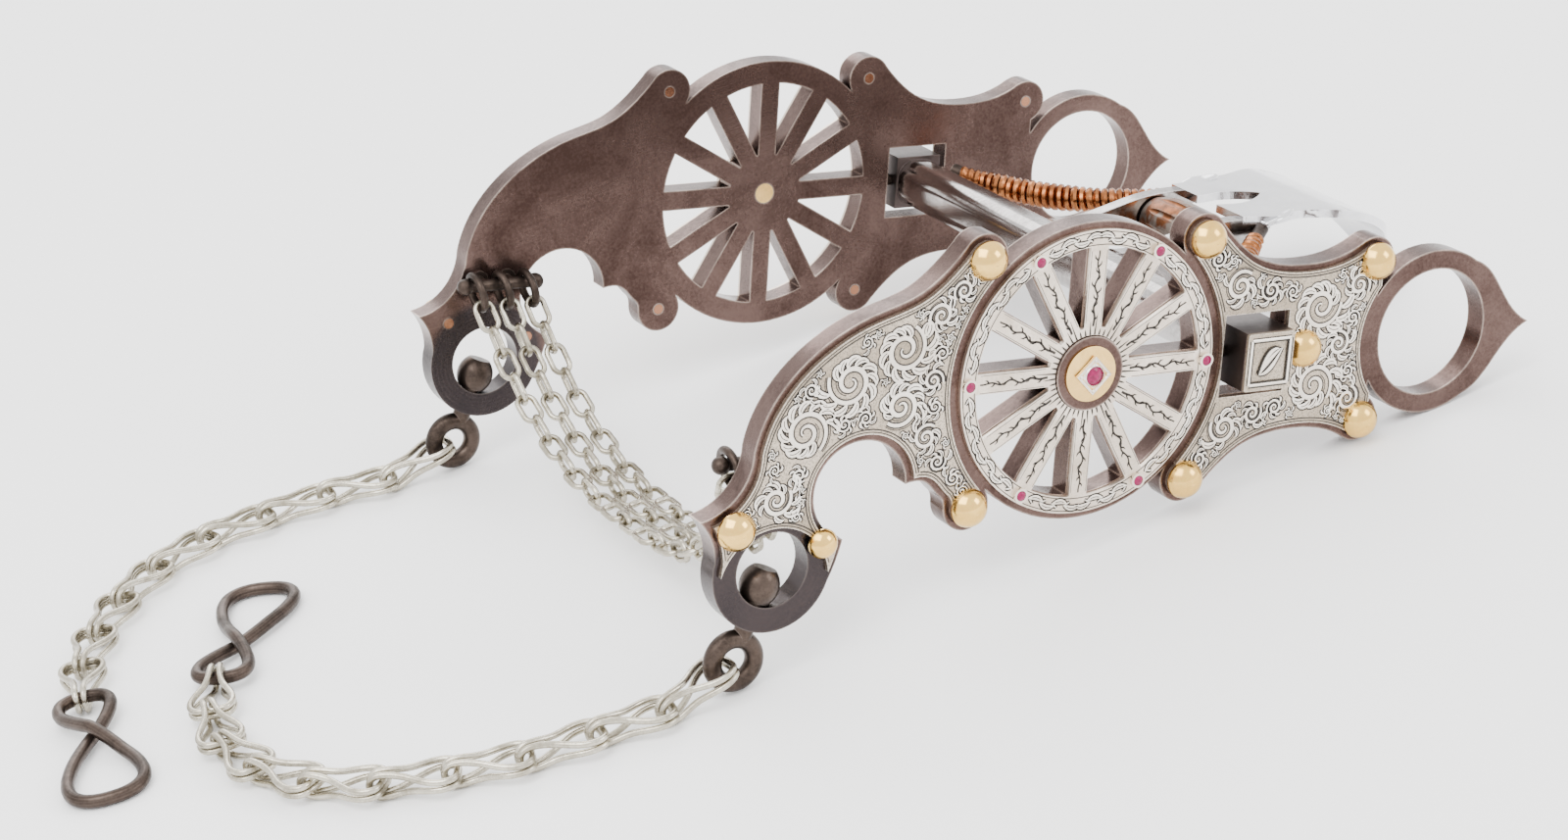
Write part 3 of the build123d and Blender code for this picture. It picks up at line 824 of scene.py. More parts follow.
@dataclass
class SilverFace:
    """The outer face of one silver overlay, as its boundary in the cheek's plane."""

    node: str
    level: float
    segments: np.ndarray = field(init=False)

    def __post_init__(self) -> None:
        """Find the edges that only one outer triangle uses."""
        mesh = frame["nodes"][self.node].data
        points = [v.co for v in mesh.vertices]
        keys = [tuple(round(c, 6) for c in p) for p in points]
        used: dict[tuple, int] = {}
        places: dict[tuple, tuple[Point2, Point2]] = {}
        for polygon in mesh.polygons:
            if any(abs(abs(points[i].y) / MM - self.level) > 0.02 for i in polygon.vertices):
                continue
            ring = list(polygon.vertices)
            for a, b in zip(ring, ring[1:] + ring[:1]):
                key = tuple(sorted((keys[a], keys[b])))
                used[key] = used.get(key, 0) + 1
                places[key] = (AXES.uv(points[a]), AXES.uv(points[b]))
        self.segments = np.array([places[k] for k, times in used.items() if times == 1], float)

    def room(self, places: np.ndarray) -> np.ndarray:
        """Distance from each place to the boundary, negative outside the face.

        Args:
            places: Places in the cheek's plane, mm, one per row.

        Returns:
            The distances, mm.
        """
        a, b = self.segments[:, 0], self.segments[:, 1]
        run = b - a
        length = (run ** 2).sum(1)
        out = np.empty(len(places))
        for i, p in enumerate(places):
            t = np.clip(((p - a) * run).sum(1) / length, 0, 1)
            near = np.hypot(*(a + run * t[:, None] - p).T).min()
            rising = (a[:, 1] > p[1]) != (b[:, 1] > p[1])
            cross = a[rising, 0] + (p[1] - a[rising, 1]) / run[rising, 1] * run[rising, 0]
            out[i] = near if (cross > p[0]).sum() % 2 else -near
        return out

    def loops(self) -> list[list[Point2]]:
        """The boundary joined up end to end.

        Returns:
            The loops, each as its points in order.
        """
        def key(p: np.ndarray) -> tuple[float, float]:
            """A point rounded so that ends that meet compare equal."""
            return round(float(p[0]), 2), round(float(p[1]), 2)

        following: dict[tuple, list[tuple]] = {}
        for a, b in self.segments:
            following.setdefault(key(a), []).append(key(b))
            following.setdefault(key(b), []).append(key(a))
        loops, seen = [], set()
        for start in following:
            if start in seen:
                continue
            loop, at = [start], start
            seen.add(start)
            while True:
                ahead = [k for k in following[at] if k not in seen]
                if not ahead:
                    break
                at = ahead[0]
                seen.add(at)
                loop.append(at)
            loops.append(loop)
        return loops


@dataclass
class ScrollWork:
    """Fills a silver face with leafy scrolls inside plain border lines."""

    face: SilverFace
    cutting: Cutting
    seed: int
    sizes: tuple[float, ...] = (6.6, 5.4, 4.5, 3.7, 3.1, 2.6, 2.2, 1.8, 1.45, 1.15, 0.9)
    border: float = 0.9
    turns: float = 1.75
    curl: float = 0.74
    grid_step: float = 0.75
    packing: float = 0.93
    stem_most: float = 0.95
    stem_share: float = 0.19
    leaf_most: float = 2.6
    leaf_shares: tuple[float, float] = (0.52, 0.36)
    leaf_width: float = 0.60
    vein: float = 0.17

    def cut(self) -> None:
        """Cut the border, then the scrolls from the largest to the smallest."""
        self.cut_border()
        rng = random.Random(self.seed)
        low, high = self.face.segments.reshape(-1, 2).min(0), self.face.segments.reshape(-1, 2).max(0)
        step = self.grid_step
        grid = np.array([(u, v) for u in np.arange(low[0], high[0], step)
                         for v in np.arange(low[1], high[1], step)])
        room = self.face.room(grid)
        taken: list[tuple[float, float, float]] = []
        for size in self.sizes:
            fits = np.argwhere(room > size + self.border * 0.8)[:, 0]
            for i in fits:
                u, v = grid[i]
                if all(math.hypot(u - tu, v - tv) > (size + ts) * self.packing for tu, tv, ts in taken):
                    taken.append((u, v, size))
                    self.cut_scroll(u, v, size, rng)
        log.info("%s: %d scrolls", self.face.node, len(taken))

    def cut_border(self) -> None:
        """Two plain lines that follow the edge of the silver."""
        for loop in self.face.loops():
            if len(loop) < 8:
                continue
            closed = loop + loop[:2]
            frames = self.cutting.frames(closed)
            probe = self.face.room(np.array([(u + nu * 0.3, v + nv * 0.3) for u, v, nu, nv in frames[1:9]]))
            inward = 1.0 if (probe > 0).mean() > 0.5 else -1.0
            for inset, width in ((0.45, 0.22), (1.0, 0.30)):
                path = [(u + nu * inset * inward, v + nv * inset * inward) for u, v, nu, nv in frames]
                room = self.face.room(np.array(path))
                kept: list[Point2] = []
                for point, clear in zip(path[1:-1], room[1:-1]):
                    if clear > inset * 0.8:
                        kept.append(point)
                        continue
                    if len(kept) > 2:
                        self.cutting.dark(kept, [width] * len(kept))
                    kept = []
                if len(kept) > 2:
                    self.cutting.dark(kept, [width] * len(kept))

    def cut_scroll(self, u: float, v: float, size: float, rng: random.Random) -> None:
        """One scroll: a tightening curl with leaves along its outer side.

        Args:
            u: Middle along the cheek, mm.
            v: Middle across the cheek, mm.
            size: Radius of the curl, mm.
            rng: The order of chance choices.
        """
        hand = rng.choice((-1, 1))
        phase = rng.uniform(0, 2 * math.pi)
        count = max(14, int(size * 9))
        path = []
        for i in range(count):
            t = i / (count - 1)
            angle = phase + hand * 2 * math.pi * self.turns * t
            radius = size * self.curl * (1 - 0.88 * t ** 0.85)
            path.append((u + radius * math.cos(angle), v + radius * math.sin(angle)))
        wide = min(self.stem_most, size * self.stem_share)
        widths = [wide * (0.35 + 0.65 * math.sin(math.pi * min(1.0, 0.12 + i / count)) ** 0.7)
                  for i in range(count)]
        self.cutting.ridge(path, widths)
        if size > 2.5:
            inner = [(x - hand * nu * w * 1.25, y - hand * nv * w * 1.25)
                     for (x, y, nu, nv), w in zip(self.cutting.frames(path), widths)]
            self.cutting.dark(inner[:int(count * 0.72)], [0.20] * int(count * 0.72))
        leaves = int(4 + size * 1.5)
        for k in range(leaves):
            t = 0.02 + 0.60 * k / leaves
            angle = phase + hand * 2 * math.pi * self.turns * t
            radius = size * self.curl * (1 - 0.88 * t ** 0.85)
            reach = min(self.leaf_most, size * self.leaf_shares[k % 2]) * (1 - 0.4 * t)
            self.cut_leaf(u, v, radius + wide * 0.4, angle, hand, reach)

    def cut_leaf(self, u: float, v: float, radius: float, angle: float, hand: int, reach: float) -> None:
        """A curved leaf with a vein that leaves a curl and bends back along it.

        Args:
            u: Middle of the curl along the cheek, mm.
            v: Middle of the curl across the cheek, mm.
            radius: Distance from there to the leaf's root, mm.
            angle: Direction of the root.
            hand: Which way the curl turns, 1 or -1.
            reach: Length of the leaf, mm.
        """
        path = []
        steps = 8
        for i in range(steps):
            t = i / (steps - 1)
            turned = angle - hand * (0.95 * reach / max(radius, 0.8)) * t ** 1.4
            out = radius + reach * math.sin(t * math.pi * 0.55)
            path.append((u + out * math.cos(turned), v + out * math.sin(turned)))
        if self.face.room(np.array(path)).min() < self.border + reach * 0.3:
            return
        self.cutting.ridge(path, [reach * self.leaf_width * math.sin(math.pi * (0.12 + 0.84 * i / (steps - 1)))
                                  for i in range(steps)], 0.07)
        if reach > 0.9:
            self.cutting.dark(path[1:-2], [self.vein] * (steps - 3), 0.085)


@dataclass
class WheelWork:
    """Cutting on the wheel: rim leaves, spoke branches and the hub's rays."""

    cutting: Cutting
    spokes: int = 12
    rim: tuple[float, float] = (25.75, 28.3)
    stones_at: int = 6
    spoke_from: float = 9.4
    spoke_to: float = 24.6
    spoke_half: float = 1.75
    rays: int = 48
    ray_from: float = 7.7
    leaves_each: int = 4
    first_leaf: float = 0.085
    leaf_gap: float = 0.108
    leaf_run: float = 0.135
    leaf_bend: float = 0.72

    def polar(self, radius: float, angle: float) -> Point2:
        """A place on the wheel's face."""
        return radius * math.cos(angle), radius * math.sin(angle)

    def cut(self) -> None:
        """Cut every part of the wheel."""
        self.cut_rim()
        for k in range(self.spokes):
            self.cut_spoke(2 * math.pi * k / self.spokes, k)
        self.cut_hub()

    def cut_rim(self) -> None:
        """Two border circles with a running leaf between them."""
        for radius, width in ((self.rim[0], 0.2), (self.rim[1], 0.2)):
            circle = [self.polar(radius, 2 * math.pi * i / 180) for i in range(181)]
            self.cutting.dark(circle, [width] * len(circle))
        middle = sum(self.rim) / 2
        gap = 2 * math.pi / self.stones_at
        for stone in range(self.stones_at):
            for side in (1, -1):
                for leaf in range(self.leaves_each):
                    start = stone * gap + side * (self.first_leaf + self.leaf_gap * leaf)
                    bend = self.leaf_bend * (1 if leaf % 2 else -1)
                    path, widths = [], []
                    for i in range(10):
                        t = i / 9
                        angle = start + side * self.leaf_run * t
                        path.append(self.polar(middle + bend * math.sin(math.pi * t * 0.9), angle))
                        widths.append(0.15 + 0.85 * math.sin(math.pi * t) ** 0.8)
                    self.cutting.ridge(path, widths, 0.08)
                    self.cutting.dark(path[2:-2], [0.18] * 6, 0.085)
                    tip = self.polar(middle - bend * 0.9, start + side * 0.05)
                    back = self.polar(middle - bend * 0.1, start + side * 0.015)
                    self.cutting.ridge([back, ((tip[0] + back[0]) / 2 + 0.08, (tip[1] + back[1]) / 2), tip],
                                       [0.15, 0.34, 0.1], 0.06)

    def cut_spoke(self, angle: float, k: int) -> None:
        """A crooked branch with twigs, like the grain of a split stick.

        Args:
            angle: Direction of the spoke.
            k: Number of the spoke.
        """
        rng = random.Random(400 + k)
        long = self.spoke_to - self.spoke_from
        count = 24
        shift = [0.45 * math.sin(0.9 * i + k) * math.sin(math.pi * i / (count - 1)) for i in range(count)]
        path = []
        for i in range(count):
            radius = self.spoke_from + long * i / (count - 1)
            u, v = self.polar(radius, angle)
            path.append((u - shift[i] * math.sin(angle), v + shift[i] * math.cos(angle)))
        self.cutting.dark(path, [0.52 - 0.20 * i / count for i in range(count)])
        for i in range(2, count - 2, 2):
            u, v = path[i]
            hand = 1 if (i // 2 + k) % 2 else -1
            reach = rng.uniform(1.0, 1.55)
            turn = angle + hand * 0.62
            tip = (u + reach * math.cos(turn), v + reach * math.sin(turn))
            elbow = turn + hand * 0.25
            bent = (u + 0.6 * reach * math.cos(elbow), v + 0.6 * reach * math.sin(elbow))
            self.cutting.dark([(u, v), bent, tip], [0.40, 0.34, 0.08])
        for hand in (-1, 1):
            edge = [self.polar(r, angle + hand * math.asin(self.spoke_half / r))
                    for r in np.linspace(self.spoke_from + 0.8, self.spoke_to, 8)]
            self.cutting.dark(edge, [0.12] * 8)

    def cut_hub(self) -> None:
        """Short rays round the gold disc, longer ones running out on to each spoke."""
        for k in range(self.rays):
            angle = 2 * math.pi * (k + 0.5) / self.rays
            on_spoke = abs((angle * self.spokes / (2 * math.pi) + 0.5) % 1 - 0.5) < 0.3
            far = (12.0 if k % 2 else 10.4) if on_spoke else 9.0
            self.cutting.dark([self.polar(self.ray_from, angle), self.polar(8.4, angle), self.polar(far, angle)],
                              [0.42, 0.36, 0.08])


# ---- cheeks ---------------------------------------------------------------------------------------

@dataclass
class HubSetting:
    """Silver lozenge with a raised rim and four beads that holds the hub's stone on the gold disc."""

    side: Side
    half: float = 3.95
    hole: float = 1.95
    low: float = 70.9
    high: float = 71.55
    rim: float = 0.42
    bead: float = 0.42

    def build(self, finishes: Finishes) -> bpy.types.Object:
        """Build the setting.

        Args:
            finishes: The bit's materials.

        Returns:
            The setting.
        """
        steps = 48
        work = bmesh.new()

        def ring(shape: Callable[[float], float], level: float) -> list[bmesh.types.BMVert]:
            """Corners of one closed outline at one level."""
            w = self.side.value * level
            return [work.verts.new(AXES.at(shape(a) * math.cos(a), shape(a) * math.sin(a), w))
                    for a in (2 * math.pi * k / steps for k in range(steps))]

        def lozenge(inset: float) -> Callable[[float], float]:
            """Radius by direction of the lozenge, drawn in by inset mm."""
            return lambda a: (self.half - inset) / (abs(math.cos(a)) + abs(math.sin(a)))

        rings = [ring(shape, level) for shape, level in (
            (lozenge(0), self.low), (lozenge(0), self.high), (lozenge(0.25), self.high + 0.15),
            (lozenge(self.rim + 0.25), self.high + 0.1), (lozenge(self.rim + 0.5), self.high - 0.2),
            (lambda a: self.hole + 0.25, self.high - 0.1), (lambda a: self.hole, self.high + 0.2),
            (lambda a: self.hole - 0.15, self.low))]
        for one, two in zip(rings, rings[1:] + rings[:1]):
            for k in range(steps):
                work.faces.new((one[k], one[(k + 1) % steps], two[(k + 1) % steps], two[k]))
        for k in range(4):
            angle = k * math.pi / 2
            at = AXES.at((self.half - 0.9) * math.cos(angle), (self.half - 0.9) * math.sin(angle),
                         self.side.value * (self.high + 0.1))
            bmesh.ops.create_uvsphere(work, u_segments=16, v_segments=10, radius=self.bead * MM,
                                      matrix=Matrix.Translation(at))
        bmesh.ops.recalc_face_normals(work, faces=work.faces)
        mesh = bpy.data.meshes.new(f"{self.side.word}_hub_lozenge")
        work.to_mesh(mesh)
        work.free()
        smooth_by_angle(mesh, 40)
        setting = paint(link(mesh.name, mesh), finishes.scroll)
        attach(setting, f"{self.side.word}_cheek")
        return setting


@dataclass
class Cheek:
    """One cheek: steel plate, three silver overlays, rivets, hub, stones, rack and rein swivel."""

    side: Side
    finishes: Finishes
    outer: float = 69.5
    plate_edge: float = 0.45
    silver_edge: float = 0.22

    def build(self) -> None:
        """Build and dress every piece of this cheek."""
        word, f = self.side.word, self.finishes
        softened(f"{word}_cheek_plate", f"{word}_cheek_steel", self.plate_edge, f.cheek, 3)
        for part in ("wheel", "shank", "purchase"):
            softened(f"{word}_{part}_overlay", f"{word}_{part}_silver", self.silver_edge,
                     f.plain_silver if part == "wheel" else f.silver)
        for part, material in (("studs", f.gold), ("ruby_settings", f.setting), ("rubies", f.ruby),
                               ("chain_rack", f.hook), ("rein_swivel", f.hook), ("rack_rings", f.hook),
                               ("rein_hook", f.hook)):
            paint(frame["nodes"][f"{word}_{part}"], material)
        HubSetting(self.side).build(f)
        ReinHook(self.side).build(f)
        self.engrave()

    def engrave(self) -> None:
        """Cut the three silver faces."""
        word = self.side.word
        for part, seed in (("shank", 11), ("purchase", 23)):
            cutting = Cutting(self.side, self.outer)
            ScrollWork(SilverFace(f"{word}_{part}_overlay", self.outer), cutting, seed).cut()
            cutting.finish(f"{word}_{part}", f"{word}_cheek", self.finishes)
        cutting = Cutting(self.side, self.outer)
        WheelWork(cutting).cut()
        cutting.finish(f"{word}_wheel", f"{word}_cheek", self.finishes)


# ---- mouthpiece -----------------------------------------------------------------------------------

@dataclass
class Winding:
    """Copper wire wound round one brace, thickest in the middle."""

    side: Side
    wire: float = 0.80
    start: tuple[float, float, float] = (44.6, 4.0, 56.5)
    middle: tuple[float, float, float] = (59.0, 2.4, 34.5)
    end: tuple[float, float, float] = (79.0, 7.2, 14.6)
    outer: tuple[float, ...] = (1.9, 2.9, 3.1, 2.7, 2.1)
    span: tuple[float, float] = (0.05, 0.90)
    pitch: float = 1.72

    def arc(self) -> Callable[[float], Vector]:
        """The brace's line.

        Returns:
            A function from 0..1 to a point, mm, on the circle through the three places.
        """
        a, b, c = (Vector((u, v, w * self.side.value)) for u, v, w in (self.start, self.middle, self.end))
        ab, ac = b - a, c - a
        normal = ab.cross(ac)
        centre = a + (ac.length_squared * normal.cross(ab) + ab.length_squared * ac.cross(normal)) / (
            2 * normal.length_squared)
        normal.normalize()
        first = a - centre
        across = normal.cross(first)
        last = c - centre
        angle = math.atan2(last.dot(across) / first.length_squared, last.dot(first) / first.length_squared)
        if angle < 0:
            angle += 2 * math.pi

        def at(t: float) -> Vector:
            """Point at 0..1 of the arc."""
            return centre + first * math.cos(angle * t) + across * math.sin(angle * t)

        return at

    def radius(self, t: float) -> float:
        """Outer radius of the winding.

        Args:
            t: Place along it, 0 to 1.

        Returns:
            The radius, mm.
        """
        place = t * (len(self.outer) - 1)
        i = min(int(place), len(self.outer) - 2)
        part = place - i
        part = part * part * (3 - 2 * part)
        return self.outer[i] * (1 - part) + self.outer[i + 1] * part

    def sweep(self, name: str, points: list[Vector], radii: list[float], sides: int) -> bpy.types.Object:
        """A tube along points with a radius at each, closed at its ends.

        Args:
            name: Piece name.
            points: Its middle line, mm in the bit's axes.
            radii: Its radius at each point, mm.
            sides: Number of sides.

        Returns:
            The tube.
        """
        work = bmesh.new()
        rings = []
        up = Vector((0, 1, 0.2)).normalized()
        for i, (point, radius) in enumerate(zip(points, radii)):
            ahead = (points[min(i + 1, len(points) - 1)] - points[max(i - 1, 0)]).normalized()
            x = (up - ahead * up.dot(ahead)).normalized()
            y = ahead.cross(x)
            up = x
            rings.append([work.verts.new(AXES.at(*(point + (x * math.cos(a) + y * math.sin(a)) * radius)))
                          for a in (2 * math.pi * k / sides for k in range(sides))])
        for one, two in zip(rings, rings[1:]):
            for k in range(sides):
                work.faces.new((one[k], one[(k + 1) % sides], two[(k + 1) % sides], two[k]))
        work.faces.new(rings[0])
        work.faces.new(rings[-1])
        bmesh.ops.recalc_face_normals(work, faces=work.faces)
        mesh = bpy.data.meshes.new(name)
        work.to_mesh(mesh)
        work.free()
        smooth_by_angle(mesh, 50)
        return link(name, mesh)

    def build(self, finishes: Finishes) -> list[bpy.types.Object]:
        """Wind the wire and the layer under it.

        Args:
            finishes: The bit's materials.

        Returns:
            The two pieces.
        """
        at, (low, high) = self.arc(), self.span
        length = sum((at(low + (high - low) * (i + 1) / 40) - at(low + (high - low) * i / 40)).length
                     for i in range(40))
        turns = length / self.pitch
        steps = int(turns * 14)
        points = []
        up = Vector((0, 1, 0))
        for i in range(steps + 1):
            t = i / steps
            here = at(low + (high - low) * t)
            ahead = (at(low + (high - low) * t + 0.01) - here).normalized()
            x = (up - ahead * up.dot(ahead)).normalized()
            y = ahead.cross(x)
            turn = 2 * math.pi * turns * t
            points.append(here + (x * math.cos(turn) + y * math.sin(turn)) * (self.radius(t) - self.wire))
        word = self.side.word
        wire = self.sweep(f"{word}_brace_wire", points, [self.wire] * len(points), 7)
        under = [at(low + (high - low) * i / 30) for i in range(31)]
        core = self.sweep(f"{word}_brace_underlayer", under,
                          [max(1.55, self.radius(i / 30) - self.wire * 1.5) for i in range(31)], 16)
        for piece in (wire, core):
            paint(piece, finishes.copper)
            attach(piece, "mouthpiece")
        return [wire, core]


@dataclass
class SpoonEar:
    """A leaf-shaped ear at the spoon's root, curled up at its tip."""

    side: Side
    root: tuple[float, float, float] = (78.5, 8.2, 15.4)
    length: float = 8.6
    width: float = 4.6
    curl: float = 4.2
    thick: float = 1.1

    def build(self, finishes: Finishes) -> bpy.types.Object:
        """Build the ear.

        Args:
            finishes: The bit's materials.

        Returns:
            The ear.
        """
        work = bmesh.new()
        grid = []
        for i in range(17):
            t = i / 16
            half = self.width / 2 * math.sin(math.pi * (0.16 + 0.82 * t)) ** 0.8
            u = self.root[0] + self.length * t
            v = self.root[1] + 1.4 * math.sin(t * 2.2) + self.curl * max(0.0, t - 0.55) ** 1.5
            w = self.side.value * (self.root[2] - 1.2 * t)
            row = []
            for j in range(7):
                s = j / 6 * 2 - 1
                row.append(work.verts.new(AXES.at(u, v + 0.8 * s * s * half / self.width, w + s * half)))
            grid.append(row)
        for a, b in zip(grid, grid[1:]):
            for j in range(6):
                work.faces.new((a[j], a[j + 1], b[j + 1], b[j]))
        mesh = bpy.data.meshes.new(f"{self.side.word}_spoon_ear")
        work.to_mesh(mesh)
        work.free()
        mesh.shade_smooth()
        ear = link(mesh.name, mesh)
        shell = ear.modifiers.new("thickness", "SOLIDIFY")
        shell.thickness, shell.offset = self.thick * MM, 0
        rounding = ear.modifiers.new("rounding", "SUBSURF")
        rounding.levels = rounding.render_levels = 1
        paint(ear, finishes.spoon)
        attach(ear, "mouthpiece")
        return ear


@dataclass
class Mouthpiece:
    """Bar, port, spoon, roller and wound braces."""

    finishes: Finishes
    cap_at: float = 39.0
    cap_half: float = 4.6

    def build(self) -> None:
        """Build and dress every piece of the mouthpiece."""
        f = self.finishes
        softened("mouth_bar", "mouth_bar_steel", 0.5, f.bar, 3)
        softened("spoon", "spoon_plate", 0.45, f.spoon, 3)
        softened("tenon_caps", "tenon_cap_silver", 0.25, f.silver)
        paint(frame["nodes"]["hinge_pins"], f.hook)
        paint(frame["nodes"]["braces"], f.hook)
        paint(frame["nodes"]["cricket_roller"], f.roller)
        wound = [piece for side in Side for piece in Winding(side).build(f)]
        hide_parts("brace_windings")
        for side in Side:
            SpoonEar(side).build(f)
            self.engrave_cap(side)
        log.info("mouthpiece built")

    def engrave_cap(self, side: Side) -> None:
        """A raised border and one leaf spray on the tenon's silver cap.

        Args:
            side: Which cap.
        """
        low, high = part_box("tenon_caps")
        face = max(abs(low.y), abs(high.y)) / MM
        cutting = Cutting(side, face)
        half, u0 = self.cap_half, self.cap_at
        corners = [(u0 + x * half, y * half) for x, y in ((-1, -1), (1, -1), (1, 1), (-1, 1), (-1, -1))]
        for a, b in zip(corners, corners[1:]):
            path = [(a[0] + (b[0] - a[0]) * t / 6, a[1] + (b[1] - a[1]) * t / 6) for t in range(7)]
            cutting.ridge(path, [0.55] * 7, 0.14)
        for k, (bend, lean) in enumerate(((1.6, -0.5), (-1.4, 0.35), (0.5, 0.0))):
            path, widths = [], []
            for i in range(12):
                t = i / 11
                path.append((u0 - 2.4 + 4.8 * t + lean * t, -2.6 + 5.2 * t + bend * math.sin(math.pi * t)))
                widths.append(0.1 + 0.75 * math.sin(math.pi * t) ** 0.9)
            cutting.ridge(path, widths, 0.09)
        cutting.finish(f"{side.word}_cap", "mouthpiece", self.finishes)


# ---- hooks ----------------------------------------------------------------------------------------

@dataclass
class ReinHook:
    """Heavy wire bent to a figure of eight: a small loop on the chain and a large one for the rein."""

    side: Side
    wire: float = 1.35
    small: Point2 = (15.0, 5.2)
    large_half: float = 7.4
    crossing: float = 1.25
    lift: float = 0.55

    def build(self, finishes: Finishes) -> bpy.types.Object:
        """Bend the hook.

        Args:
            finishes: The bit's materials.

        Returns:
            The hook.
        """
        word = self.side.word
        joint = next(j for j in frame["joints"] if j["name"] == f"{word}_hook_yaw")
        start = Vector(joint["pos_m"])
        points = [v.co for v in frame["nodes"][f"{word}_rein_hook"].data.vertices]
        ahead = (sum(points, Vector()) / len(points) - start).normalized()
        total = max((p - start).dot(ahead) for p in points) / MM - self.wire
        aside = Vector((0, 0, 1)).cross(ahead).normalized()
        up = ahead.cross(aside)
        small_long, small_half = self.small
        large_long = total - small_long
        count = 96
        path = []
        for i in range(count):
            t = 2 * math.pi * i / count
            c = math.copysign(abs(math.cos(t)) ** 0.9, math.cos(t))
            long, half = (large_long, self.large_half) if c > 0 else (small_long, small_half)
            x = small_long + long * c
            y = half * math.copysign(abs(math.sin(2 * t)) ** 0.85, math.sin(2 * t))
            near = max(0.0, 1 - abs(x - small_long) / 9.0)
            z = self.crossing * math.sin(t) * near + self.lift * near
            path.append(start + (ahead * x + aside * y + up * z) * MM)
        hook = paint(bent_wire(f"{word}_hook_wire", path, self.wire, 3, 5), finishes.hook)
        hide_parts(f"{word}_rein_hook")
        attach(hook, f"{word}_hook")
        log.info("piece %s: %.1f mm long", hook.name, total)
        return hook


# ---- chains ---------------------------------------------------------------------------------------

@dataclass
class ReinLink:
    """One link: a long wire loop folded double, with a round wide end and a narrow fold."""

    side: Side
    number: int
    wire: float = 0.66
    quarter: tuple[tuple[float, float, float], ...] = (
        (0.0, 1.5, 0.70), (0.25, 3.6, 0.70), (3.1, 4.6, 0.75), (6.3, 3.5, 0.95), (9.3, 1.5, 1.45),
        (12.4, 1.0, 2.25), (15.2, 0.85, 2.45), (16.7, 0.8, 1.2))

    def build(self, finishes: Finishes) -> bpy.types.Object:
        """Bend the link's wire.

        Args:
            finishes: The bit's materials.

        Returns:
            The link, which stands for its CAD node.
        """
        word = self.side.word
        node, body = f"{word}_rein_link_{self.number:02d}", f"{word}_link_{self.number:02d}"
        start, end = (Vector(next(j for j in frame["joints"] if match(j))["pos_m"])
                      for match in (lambda j: j["child"] == body, lambda j: j["parent"] == body))
        ahead = (end - start).normalized()
        aside = Vector((0, 0, 1)).cross(ahead).normalized()
        up = ahead.cross(aside)
        half = list(self.quarter) + [(x, y, -z) for x, y, z in reversed(self.quarter)]
        line = half + [(x, -y, z) for x, y, z in reversed(half)]
        places = [start + (ahead * x + aside * y + up * z) * MM for x, y, z in line]
        piece = paint(bent_wire(f"{node}_wire", places, self.wire, 6, 4), finishes.chain)
        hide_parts(node)
        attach(piece, body)
        return piece


@dataclass
class Chains:
    """Rein chains and the curb chain."""

    finishes: Finishes
    closer_wire: float = 0.6

    def build(self) -> None:
        """Dress the links and close the curb chain in its middle."""
        for name, node in frame["nodes"].items():
            if "curb_chain" in name:
                paint(node, self.finishes.chain)
        for side in Side:
            count = sum(name.startswith(f"{side.word}_rein_link_") for name in frame["nodes"])
            for number in range(1, count + 1):
                ReinLink(side, number).build(self.finishes)
        self.close_curb()

    def close_curb(self) -> None:
        """Three small rings through the last links of both halves, where the curb chain is open in CAD."""
        low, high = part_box("left_curb_chain_6")
        low2, high2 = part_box("right_curb_chain_6")
        y = (high.y + low2.y) / 2
        for k in (-1, 0, 1):
            middle = Vector(((low.x + high.x) / 2, y, (low.z + high.z) / 2)) + AXES.along * (6.0 * k * MM)
            bpy.ops.mesh.primitive_torus_add(major_radius=2.1 * MM, minor_radius=self.closer_wire * MM,
                                             major_segments=40, minor_segments=12)
            ring = bpy.context.object
            ring.name = f"curb_joining_ring_{k + 2}"
            turn = Matrix((AXES.across, Vector((0, 1, 0)), AXES.along)).transposed().to_4x4()
            ring.data.transform(Matrix.Translation(middle) @ turn @ Matrix.Diagonal((0.62, 1.15, 1.0, 1.0)))
            ring.data.shade_smooth()
            paint(ring, self.finishes.chain)
            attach(ring, "left_curb_6")
        log.info("curb chain closed with three rings")


# ---- room -----------------------------------------------------------------------------------------

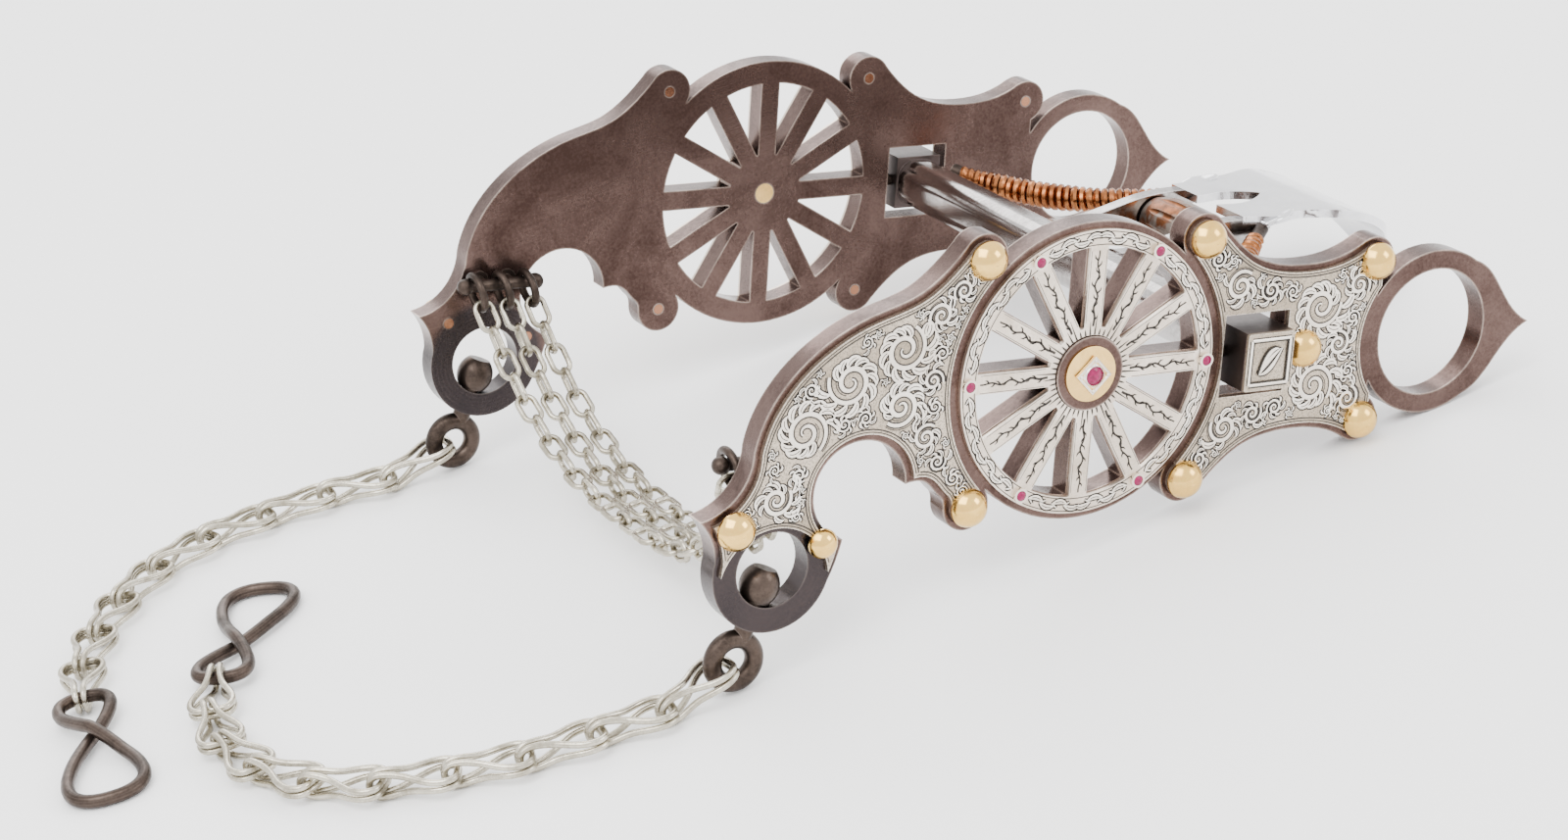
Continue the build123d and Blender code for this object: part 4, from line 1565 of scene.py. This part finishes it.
@dataclass
class Studio:
    """Pale floor, soft lights and the camera."""

    floor_size: float = 6.0
    camera_at: tuple[float, float, float] = (-0.35714, -0.62879, 0.31377)
    right: tuple[float, float, float] = (0.86594, -0.47481, -0.15720)
    up: tuple[float, float, float] = (0.33215, 0.31094, 0.89050)
    ahead: tuple[float, float, float] = (0.37394, 0.82333, -0.42696)
    lens: float = 84.5

    def build(self) -> None:
        """Build the room."""
        low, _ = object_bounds()
        mesh = bpy.data.meshes.new("pale_floor")
        half = self.floor_size / 2
        z = low[2] - 0.0002
        corners = [(-half, -half, z), (half, -half, z), (half, half, z), (-half, half, z)]
        mesh.from_pydata(corners, [], [(0, 1, 2, 3)])
        floor = link("pale_floor", mesh)
        material = bpy.data.materials.new("pale_floor_paint")
        material.use_nodes = True
        shader = material.node_tree.nodes["Principled BSDF"]
        shader.inputs["Base Color"].default_value = (0.97, 0.97, 0.97, 1)
        shader.inputs["Roughness"].default_value = 0.9
        shader.inputs["Specular IOR Level"].default_value = 0.1
        floor.data.materials.append(material)
        floor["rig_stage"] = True
        world = bpy.data.worlds.new("studio_air")
        bpy.context.scene.world = world
        world.use_nodes = True
        world.node_tree.nodes["Background"].inputs[0].default_value = (1, 1, 1, 1)
        world.node_tree.nodes["Background"].inputs[1].default_value = 2.3
        self.light("key_panel", (-0.55, -0.35, 1.05), 0.9, 14.0)
        self.light("side_panel", (0.75, -0.75, 0.55), 0.5, 4.5)
        self.light("back_panel", (0.25, 1.0, 0.75), 0.8, 7.0)
        self.camera()

    def light(self, name: str, at: tuple[float, float, float], size: float, power: float) -> None:
        """One soft square light that faces the bit.

        Args:
            name: Its name.
            at: Its place, metres.
            size: Its side, metres.
            power: Its power, watts.
        """
        data = bpy.data.lights.new(name, "AREA")
        data.size, data.energy = size, power
        obj = bpy.data.objects.new(name, data)
        obj.location = at
        obj.rotation_euler = (Vector((-0.03, 0, 0)) - Vector(at)).to_track_quat("-Z", "Y").to_euler()
        bpy.context.scene.collection.objects.link(obj)

    def camera(self) -> None:
        """The camera, at the bit's usual viewing angle."""
        data = bpy.data.cameras.new("studio_camera")
        data.lens, data.sensor_width = self.lens, 36.0
        data.clip_start, data.clip_end = 0.01, 20.0
        obj = bpy.data.objects.new("studio_camera", data)
        x, y, z = Vector(self.right), Vector(self.up), -Vector(self.ahead)
        turn = Matrix((x, y, z)).transposed().to_4x4()
        obj.matrix_world = Matrix.Translation(Vector(self.camera_at)) @ turn
        bpy.context.scene.collection.objects.link(obj)
        bpy.context.scene.camera = obj


def main() -> None:
    """Build the bit and its room."""
    logging.basicConfig(level=logging.INFO, format="%(message)s")
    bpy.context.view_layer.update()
    Studio().build()
    finishes = Finishes()
    for side in Side:
        Cheek(side, finishes).build()
    Mouthpiece(finishes).build()
    Chains(finishes).build()
    bpy.context.view_layer.update()


if __name__ == "__main__":
    main()
